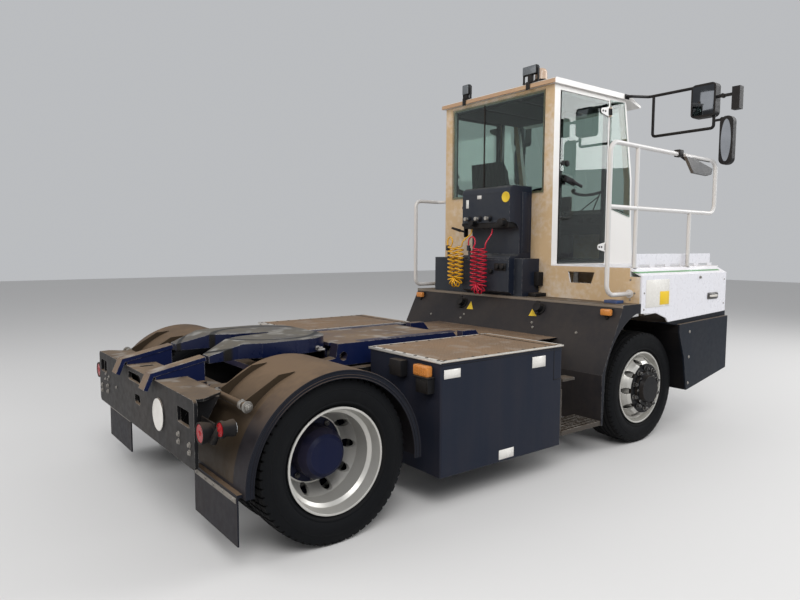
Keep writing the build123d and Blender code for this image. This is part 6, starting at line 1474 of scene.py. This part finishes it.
add_block(switches, (seat_back_x + 0.180, seat_back_x + 0.520), (0.255, 0.345), (1.700, 1.770), 0.010)
add_block(switches, (seat_back_x + 0.250, seat_back_x + 0.310), (0.285, 0.390), (1.560, 1.705), 0.006)
finish_piece("switches", switches, black_plastic, "vehicle")
lining = bmesh.new()
for y in (-0.10, 0.37, 0.84):
    add_block(lining, (wall_x + 0.080, rear_x + 3.875), (y - 0.205, y + 0.205), (2.995, 3.0125), 0.006)
finish_piece("roof_lining", lining,
             painted("lining_cloth", (0.060, 0.064, 0.066, 1), top=0.0, rear=0.0, wear=0.0, gloss=0.8,
                     bump=0.5), "vehicle")

# Front end: headlamps behind clear panes in the bumper, and one wiper on the windscreen.
# The photograph doesn't show this side, so its pieces are plain ones of the usual kind.
headlamps = bmesh.new()
reflectors = bmesh.new()
for y in (-0.980, 0.980):
    add_lathe(headlamps, dome(0.010, 0.080), (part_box("front_bumper")[1].x - 0.012, y, 0.690), forwards, 48)
    add_lathe(reflectors, [(-0.008, 0.094), (-0.002, 0.094), (-0.0002, 0.090), (-0.002, 0.081),
                           (-0.008, 0.081)], (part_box("front_bumper")[1].x, y, 0.690), forwards, 48,
              closed=True)
finish_piece("headlamp_panes", headlamps, clear_lens, "vehicle")
finish_piece("headlamp_rings", reflectors, black_rubber, "vehicle")
wiper = bmesh.new()
add_rod(wiper, (rear_x + 4.046, 0.370, 1.968), (rear_x + 4.058, 0.370, 1.968), 0.016, rounding=0.002)
add_rod(wiper, (rear_x + 4.054, 0.370, 1.968), (rear_x + 4.046, 0.060, 2.160), 0.006, rounding=0.001)
add_rod(wiper, (rear_x + 4.048, 0.140, 1.985), (rear_x + 4.040, -0.010, 2.290), 0.007, rounding=0.001)
finish_piece("wiper", wiper, black_rubber, "vehicle")

# Studio: pale floor, soft lamps and the camera at the photograph's place.
bpy.ops.mesh.primitive_plane_add(size=60, location=(0, 0, 0))
floor = bpy.context.object
floor.name = "studio_floor"
floor_paint = bpy.data.materials.new("studio_floor")
floor_paint.use_nodes = True
floor_shader = floor_paint.node_tree.nodes["Principled BSDF"]
floor_shader.inputs["Base Color"].default_value = (0.62, 0.61, 0.60, 1)
floor_shader.inputs["Roughness"].default_value = 0.7
floor.data.materials.append(floor_paint)

world = bpy.data.worlds.new("studio")
bpy.context.scene.world = world
world.use_nodes = True
world.node_tree.nodes["Background"].inputs["Color"].default_value = (0.90, 0.92, 0.95, 1)
world.node_tree.nodes["Background"].inputs["Strength"].default_value = 0.55

for name, place, aim, size, power in (("key_lamp", (-5, -8, 9), upwards, 6, 900),
                                      ("fill_lamp", (-9, 3, 5), upwards, 6, 350),
                                      ("front_lamp", (8, -4, 6), upwards, 6, 500)):
    light = bpy.data.lights.new(name, "AREA")
    light.size = size
    light.energy = power
    lamp = bpy.data.objects.new(name, light)
    lamp.location = place
    lamp.rotation_euler = (Vector(aim) - Vector(place)).to_track_quat("-Z", "Y").to_euler()
    bpy.context.scene.collection.objects.link(lamp)

yaw, pitch, roll = math.radians(52.35), math.radians(-4.73), math.radians(0.21)
ahead = Vector((math.cos(yaw) * math.cos(pitch), math.sin(yaw) * math.cos(pitch), math.sin(pitch)))
right = Vector((math.sin(yaw), -math.cos(yaw), 0))
above = right.cross(ahead)
right, above = (math.cos(roll) * right + math.sin(roll) * above,
                math.cos(roll) * above - math.sin(roll) * right)
camera_data = bpy.data.cameras.new("photo_camera")
camera_data.lens = 28.9
camera_data.sensor_width = 36.0
camera = bpy.data.objects.new("photo_camera", camera_data)
turn = Matrix((right, above, -ahead)).transposed().to_4x4()
camera.matrix_world = Matrix.Translation((-3.54675, -4.09964, 1.62324)) @ turn
bpy.context.scene.collection.objects.link(camera)
bpy.context.scene.camera = camera
bpy.context.scene.view_settings.view_transform = "Standard"
